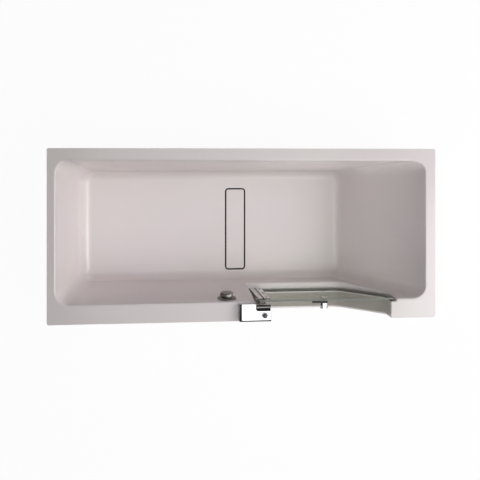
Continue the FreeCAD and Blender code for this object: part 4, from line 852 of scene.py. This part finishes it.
# Seal of the doorway: a flat flange on the landing with a round bulb against the pane
def makeSeal():
    look = sealLook
    low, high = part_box("opening_seal")
    depth = (high[1] - low[1]) / 2
    half = look["half"]
    bulb = look["bulb"]
    foot = look["flange"] - depth
    line = doorwayLine(look["middle"], (high[1] + low[1]) / 2, high[2])
    turns = [math.radians(turn) for turn in look["bulbTurns"]]
    arc = [(bulb * math.cos(turn), depth - bulb + bulb * math.sin(turn)) for turn in turns]
    section = [(-half, -depth), (half, -depth), (half * look["taper"], foot), *arc,
               (-half * look["taper"], foot)]
    mesh = runStrip("openingSeal", [line], section, sealRubber)
    keepPiece("openingSeal", mesh, bodyOf["opening_seal"], slotOf["opening_seal"], "opening_seal")


sillLook = {
    "front": -367.0 * mm,
    "back": -307.0 * mm,
    "lift": 0.9 * mm,
    "thick": 1.4 * mm,
    "rib": 0.9 * mm,
    "ribs": 10,
    "ribShares": (0.3, 0.42, 0.82),
    "endGap": 22.0 * mm,
    "topGap": 8.0 * mm,
}


# Ribbed tread on the sill and up its sloped end, in a grey that is painted shade on the sill
def makeTread():
    look = sillLook
    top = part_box("opening_seal")[1][2] - look["topGap"]
    middle = (look["front"] + look["back"]) / 2
    half = (look["back"] - look["front"]) / 2
    line = doorwayLine(-look["lift"], middle, top)[1:]
    x, y, z = line[0][0]
    line[0] = ((x + look["endGap"], y, z), 0.0)
    base = -look["thick"] / 2
    crest = base - look["rib"]
    step = 2 * half / look["ribs"]
    foot, rise, fall = look["ribShares"]
    section = [(-base, -half), (-base, half)]
    for i in range(look["ribs"]):
        at = half - step * i
        section += [(base, at), (base, at - step * foot),
                    (crest, at - step * rise), (crest, at - step * fall)]
    section += [(base, -half)]
    mesh = runStrip("sillTread", [line], section, sillGrey)
    keepPiece("sillTread", mesh, bodyOf["opening_seal"], slotOf["opening_seal"])


lipLook = {"radius": 2.2 * mm, "barrelTurn": 148.0, "leafReach": 16.0 * mm, "endGap": 1.5 * mm, "sides": 10}


# Two rubber lips of the hinge upright, one let into its barrel and one on its leaf
def makeLips():
    look = lipLook
    low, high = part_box("hinge_stile")
    pinLow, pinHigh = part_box("pivot_pin")
    x = (pinLow[0] + pinHigh[0]) / 2
    y = (pinLow[1] + pinHigh[1]) / 2
    reach = x - low[0]
    turn = math.radians(look["barrelTurn"])
    places = [(x + reach * math.cos(turn), y + reach * math.sin(turn)), (x + look["leafReach"], high[1])]
    ends = (low[2] + look["endGap"], high[2] - look["endGap"])
    lines = [[((*place, z), 0.0) for z in ends] for place in places]
    angles = [2 * math.pi * i / look["sides"] for i in range(look["sides"])]
    section = [(look["radius"] * math.cos(angle), look["radius"] * math.sin(angle)) for angle in angles]
    mesh = runStrip("hingeLips", lines, section, sealRubber)
    keepPiece("hingeLips", mesh, bodyOf["hinge_stile"], slotOf["opening_seal"])


makeSeal()
makeTread()
makeLips()
print("rubber strips run")

# Rings of a screw: share of the radius, share of the length, whether six-sided
screwLook = {
    "head": ((0.5, 0, 0), (1, 0, 0), (1, 0.55, 0), (0.95, 0.8, 0), (0.82, 1, 0),
             (0.55, 1, 1), (0.55, 0.4, 1)),
    "shank": ((0.7, -1, 0), (1, -0.94, 0), (1, 0, 0)),
    "sides": 24,
    "headShare": 0.95,
    "near": 0.01 * mm,
}


# Corners of each separate solid of a node, in a fixed order
def islands(node):
    bm = mergedCopy(node)
    left = dict.fromkeys(bm.verts)
    groups = []
    while left:
        stack = [left.popitem()[0]]
        group = []
        while stack:
            vert = stack.pop()
            group.append(vert.co.copy())
            for edge in vert.link_edges:
                other = edge.other_vert(vert)
                if other in left:
                    del left[other]
                    stack.append(other)
        groups.append(group)
    bm.free()
    return groups


# Seat of the head, axis towards the head, radius and height of the head, radius and length of the shank
def measureScrew(points):
    low = Vector([min(p[i] for p in points) for i in range(3)])
    high = Vector([max(p[i] for p in points) for i in range(3)])
    size = high - low
    middle = (low + high) / 2
    along = max(range(3), key=lambda i: size[i])
    across = [i for i in range(3) if i != along]
    near = screwLook["near"]

    def off(p):
        return math.dist([p[i] for i in across], [middle[i] for i in across])

    headRadius = max(off(p) for p in points)
    wide = [p[along] for p in points if off(p) > headRadius * screwLook["headShare"]]
    first, last = min(wide), max(wide)
    shankRadius = max(off(p) for p in points if not first - near < p[along] < last + near)
    upward = last > middle[along]
    axis = Vector((0, 0, 0))
    axis[along] = 1 if upward else -1
    seat = middle.copy()
    seat[along] = first if upward else last
    headHeight = last - first
    return seat, axis, headRadius, headHeight, shankRadius, size[along] - headHeight


def ringMesh(name, rings):
    sides = screwLook["sides"]
    bm = bmesh.new()
    loops = []
    for radius, height, hexed in rings:
        loop = []
        for i in range(sides):
            angle = 2 * math.pi * i / sides
            reach = radius
            if hexed:
                fromFlat = (angle + math.pi / 6) % (math.pi / 3) - math.pi / 6
                reach *= math.cos(math.pi / 6) / math.cos(fromFlat)
            loop.append(bm.verts.new((reach * math.cos(angle), reach * math.sin(angle), height)))
        loops.append(loop)
    for under, over in zip(loops, loops[1:]):
        for i in range(sides):
            bm.faces.new((under[i], under[(i + 1) % sides], over[(i + 1) % sides], over[i]))
    bm.faces.new(list(reversed(loops[0])))
    bm.faces.new(loops[-1])
    mesh = bpy.data.meshes.new(name)
    bm.to_mesh(mesh)
    bm.free()
    master = bpy.data.objects.new(name, mesh)
    scene.collection.objects.link(master)
    return master


def screwTree():
    tree, source = newTree("screwSet", {"Head": "Object", "Shank": "Object", "Finish": "Material"})
    both = tree.nodes.new("GeometryNodeJoinGeometry")
    aim = addNode(tree, "GeometryNodeInputNamedAttribute", {"Name": "axis"}, data_type="FLOAT_VECTOR")
    turn = addNode(tree, "FunctionNodeAlignRotationToVector", axis="Z")
    tree.links.new(aim.outputs["Attribute"], turn.inputs["Vector"])
    for label, sizeName in (("Head", "headSize"), ("Shank", "shankSize")):
        shape = tree.nodes.new("GeometryNodeObjectInfo")
        size = addNode(tree, "GeometryNodeInputNamedAttribute", {"Name": sizeName}, data_type="FLOAT_VECTOR")
        put = tree.nodes.new("GeometryNodeInstanceOnPoints")
        tree.links.new(source[label], shape.inputs["Object"])
        tree.links.new(source["Geometry"], put.inputs["Points"])
        tree.links.new(shape.outputs["Geometry"], put.inputs["Instance"])
        tree.links.new(turn.outputs["Rotation"], put.inputs["Rotation"])
        tree.links.new(size.outputs["Attribute"], put.inputs["Scale"])
        tree.links.new(put.outputs["Instances"], both.inputs["Geometry"])
    closeTree(tree, source, both.outputs["Geometry"])
    return tree


# Each screw is a head and a shank, sized and turned as its solid is
def makeScrews():
    tree = screwTree()
    head = ringMesh("screwHead", screwLook["head"])
    shank = ringMesh("screwShank", screwLook["shank"])
    shapes = {"Head": head, "Shank": shank, "Finish": finishes["steel"]}
    for node in ("clamp_screws", "hinge_screws", "block_screws", "panel_screws"):
        found = [measureScrew(points) for points in islands(node)]
        seats, axes, headRadii, headHeights, shankRadii, shankLengths = zip(*found)
        seeds = seedMesh(node + "Seeds", seats, axis=axes,
                         headSize=list(zip(headRadii, headRadii, headHeights)),
                         shankSize=list(zip(shankRadii, shankRadii, shankLengths)))
        mesh = grow(pieceName(node), seeds, tree, shapes)
        keepPiece(pieceName(node), mesh, bodyOf[node], slotOf[node], node)
    bpy.data.objects.remove(head)
    bpy.data.objects.remove(shank)


makeScrews()
print("screws set")

threadLook = {"pitch": 1.75 * mm, "ridge": 0.55 * mm, "ridgeSides": 4, "free": 1.0 * mm, "perTurn": 18}


def threadTree():
    sizes = dict.fromkeys(("Turns", "Radius", "Length", "Ridge"), "Float")
    tree, source = newTree("studThread", {**sizes, "Finish": "Material"})
    coil = addNode(tree, "GeometryNodeCurveSpiral", {"Resolution": threadLook["perTurn"]})
    ridge = addNode(tree, "GeometryNodeCurvePrimitiveCircle", {"Resolution": threadLook["ridgeSides"]})
    body = addNode(tree, "GeometryNodeCurveToMesh", {"Fill Caps": True})
    put = tree.nodes.new("GeometryNodeInstanceOnPoints")
    tree.links.new(source["Turns"], coil.inputs["Rotations"])
    tree.links.new(source["Radius"], coil.inputs["Start Radius"])
    tree.links.new(source["Radius"], coil.inputs["End Radius"])
    tree.links.new(source["Length"], coil.inputs["Height"])
    tree.links.new(source["Ridge"], ridge.inputs["Radius"])
    tree.links.new(coil.outputs["Curve"], body.inputs["Curve"])
    tree.links.new(ridge.outputs["Curve"], body.inputs["Profile Curve"])
    tree.links.new(source["Geometry"], put.inputs["Points"])
    tree.links.new(body.outputs["Mesh"], put.inputs["Instance"])
    closeTree(tree, source, put.outputs["Instances"])
    return tree


# Thread on the free stretch of each levelling stud, between its pad and its nut
def makeThreads():
    studs = islands("foot_studs")
    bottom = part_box("foot_pads")[1][2] + threadLook["free"]
    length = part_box("foot_nuts")[0][2] - threadLook["free"] - bottom
    starts = []
    for points in studs:
        spanX = [p.x for p in points]
        spanY = [p.y for p in points]
        starts.append(((min(spanX) + max(spanX)) / 2, (min(spanY) + max(spanY)) / 2, bottom))
        radius = (max(spanX) - min(spanX)) / 2
    mesh = grow("footThreads", seedMesh("studSeeds", starts), threadTree(), {
        "Turns": length / threadLook["pitch"], "Radius": radius, "Length": length,
        "Ridge": threadLook["ridge"], "Finish": finishes["steel"]})
    keepPiece("footThreads", mesh, bodyOf["foot_studs"], slotOf["foot_studs"])


makeThreads()
print("threads cut")

# The rest of the solids keep their shape and get their finish
for node, solid in solids.items():
    solid.data.materials.clear()
    solid.data.materials.append(ownFinish.get(node, finishes[slotOf[node]]))

# Camera where the photograph was taken from
view = {"place": (-0.429, 0.302, 4.08), "lean": -6.60, "focal": 812.6, "imageSize": 480,
        "axisRow": 165.2, "axisColumn": 241.0, "film": 36.0}
camera = bpy.data.cameras.new("photoView")
camera.sensor_width = view["film"]
camera.lens = view["focal"] / view["imageSize"] * view["film"]
camera.shift_x = (view["imageSize"] / 2 - view["axisColumn"]) / view["imageSize"]
camera.shift_y = (view["axisRow"] - view["imageSize"] / 2) / view["imageSize"]
cameraObject = bpy.data.objects.new("photoView", camera)
cameraObject.location = view["place"]
cameraObject.rotation_euler = (0, math.radians(view["lean"]), 0)
scene.collection.objects.link(cameraObject)
scene.camera = cameraObject

# Soft boxes: place, aim, size, power in watts
lamps = {
    "sideBox": ((3.4, 0.1, 2.4), (0, 0, 0.3), (2.4, 2.0), 84),
    "overBox": ((0.2, -0.1, 4.6), (0.2, -0.1, 0.3), (2.4, 2.4), 27),
    "cornerBox": ((2.6, -0.8, 3.9), (0, 0, 0.3), (1.6, 1.6), 28),
    "frontBox": ((0.9, -1.9, 4.1), (0.4, 0, 0.3), (1.6, 1.6), 21),
    "fillBox": ((-2.8, -0.2, 3.4), (0, 0, 0.3), (1.6, 1.6), 3),
}
# Low boxes for the outer sides, below the rim and kept out of the reflections
lowLamps = {
    "lowFront": ((-0.5, -4.2, 0.3), (0, -0.4, 0.3), (3.0, 0.5), 70),
    "lowBack": ((0.4, 4.2, 0.3), (0, 0.4, 0.3), (3.0, 0.5), 65),
    "lowLeft": ((-4.7, 0.2, 0.3), (-0.8, 0, 0.3), (1.8, 0.5), 60),
}


def hangLamp(name, place, aim, size, power, mirrored):
    lamp = bpy.data.lights.new(name, "AREA")
    lamp.shape = "RECTANGLE"
    lamp.size, lamp.size_y = size
    lamp.energy = power
    holder = bpy.data.objects.new(name, lamp)
    holder.location = place
    holder.rotation_euler = (Vector(aim) - Vector(place)).to_track_quat("-Z", "Y").to_euler()
    holder.visible_camera = False
    holder.visible_glossy = mirrored
    scene.collection.objects.link(holder)


for name, settings in lamps.items():
    hangLamp(name, *settings, True)
for name, settings in lowLamps.items():
    hangLamp(name, *settings, False)

# Shades at the stops from the horizon upwards: horizon, walls, walls, ceiling
roomLook = {
    "background": 1.0,
    "stops": (0.51, 0.55, 0.88, 0.98),
    "shades": (0.35, 0.08, 0.08, 0.15),
}


# White room: dim walls for contrast in the metal, plain white where the camera looks past the object
def makeRoom():
    look = roomLook
    world = bpy.data.worlds.new("studio")
    world.use_nodes = True
    tree = world.node_tree
    sky = tree.nodes["Background"]
    coords = addNode(tree, "ShaderNodeTexCoord")
    parts = addNode(tree, "ShaderNodeSeparateXYZ")
    tree.links.new(coords.outputs["Generated"], parts.inputs[0])
    level = addNode(tree, "ShaderNodeMapRange", {"From Min": -1.0, "From Max": 1.0})
    tree.links.new(parts.outputs["Z"], level.inputs["Value"])
    greys = [(shade,) * 3 for shade in look["shades"]]
    tint(tree, level.outputs["Result"], sky.inputs["Color"], look["stops"], greys)
    white = addNode(tree, "ShaderNodeBackground", {"Color": (1, 1, 1, 1), "Strength": look["background"]})
    path = addNode(tree, "ShaderNodeLightPath")
    seen = addNode(tree, "ShaderNodeMath", operation="MAXIMUM")
    mix = addNode(tree, "ShaderNodeMixShader")
    tree.links.new(path.outputs["Is Camera Ray"], seen.inputs[0])
    tree.links.new(path.outputs["Is Transmission Ray"], seen.inputs[1])
    tree.links.new(seen.outputs[0], mix.inputs["Fac"])
    tree.links.new(sky.outputs[0], mix.inputs[1])
    tree.links.new(white.outputs[0], mix.inputs[2])
    tree.links.new(mix.outputs[0], tree.nodes["World Output"].inputs["Surface"])
    return world


scene.world = makeRoom()

floorLook = {"reach": 12.0, "colour": (0.9, 0.9, 0.9), "roughness": 0.9, "white": 0.95}


# Pale floor that looks white past the object and keeps its shadow
def makeFloor():
    look = floorLook
    mat, tree, shader = newFinish("floorWhite")
    shader.inputs["Base Color"].default_value = (*look["colour"], 1)
    shader.inputs["Roughness"].default_value = look["roughness"]
    glow = addNode(tree, "ShaderNodeEmission", {"Strength": 1.0})
    path = addNode(tree, "ShaderNodeLightPath")
    seen = path.outputs["Is Camera Ray"]
    for kind in ("Is Glossy Ray", "Is Transmission Ray"):
        either = addNode(tree, "ShaderNodeMath", operation="MAXIMUM")
        tree.links.new(seen, either.inputs[0])
        tree.links.new(path.outputs[kind], either.inputs[1])
        seen = either.outputs[0]
    share = addNode(tree, "ShaderNodeMath", {1: look["white"]}, operation="MULTIPLY")
    mix = addNode(tree, "ShaderNodeMixShader")
    tree.links.new(seen, share.inputs[0])
    tree.links.new(share.outputs[0], mix.inputs["Fac"])
    tree.links.new(shader.outputs[0], mix.inputs[1])
    tree.links.new(glow.outputs[0], mix.inputs[2])
    tree.links.new(mix.outputs[0], tree.nodes["Material Output"].inputs["Surface"])
    reach = look["reach"]
    corners = [(-reach, -reach, 0), (reach, -reach, 0), (reach, reach, 0), (-reach, reach, 0)]
    mesh = bpy.data.meshes.new("floor")
    mesh.from_pydata(corners, [], [(0, 1, 2, 3)])
    mesh.materials.append(mat)
    floor = bpy.data.objects.new("floor", mesh)
    scene.collection.objects.link(floor)


makeFloor()
scene.view_settings.view_transform = "Standard"
print("stage lit")
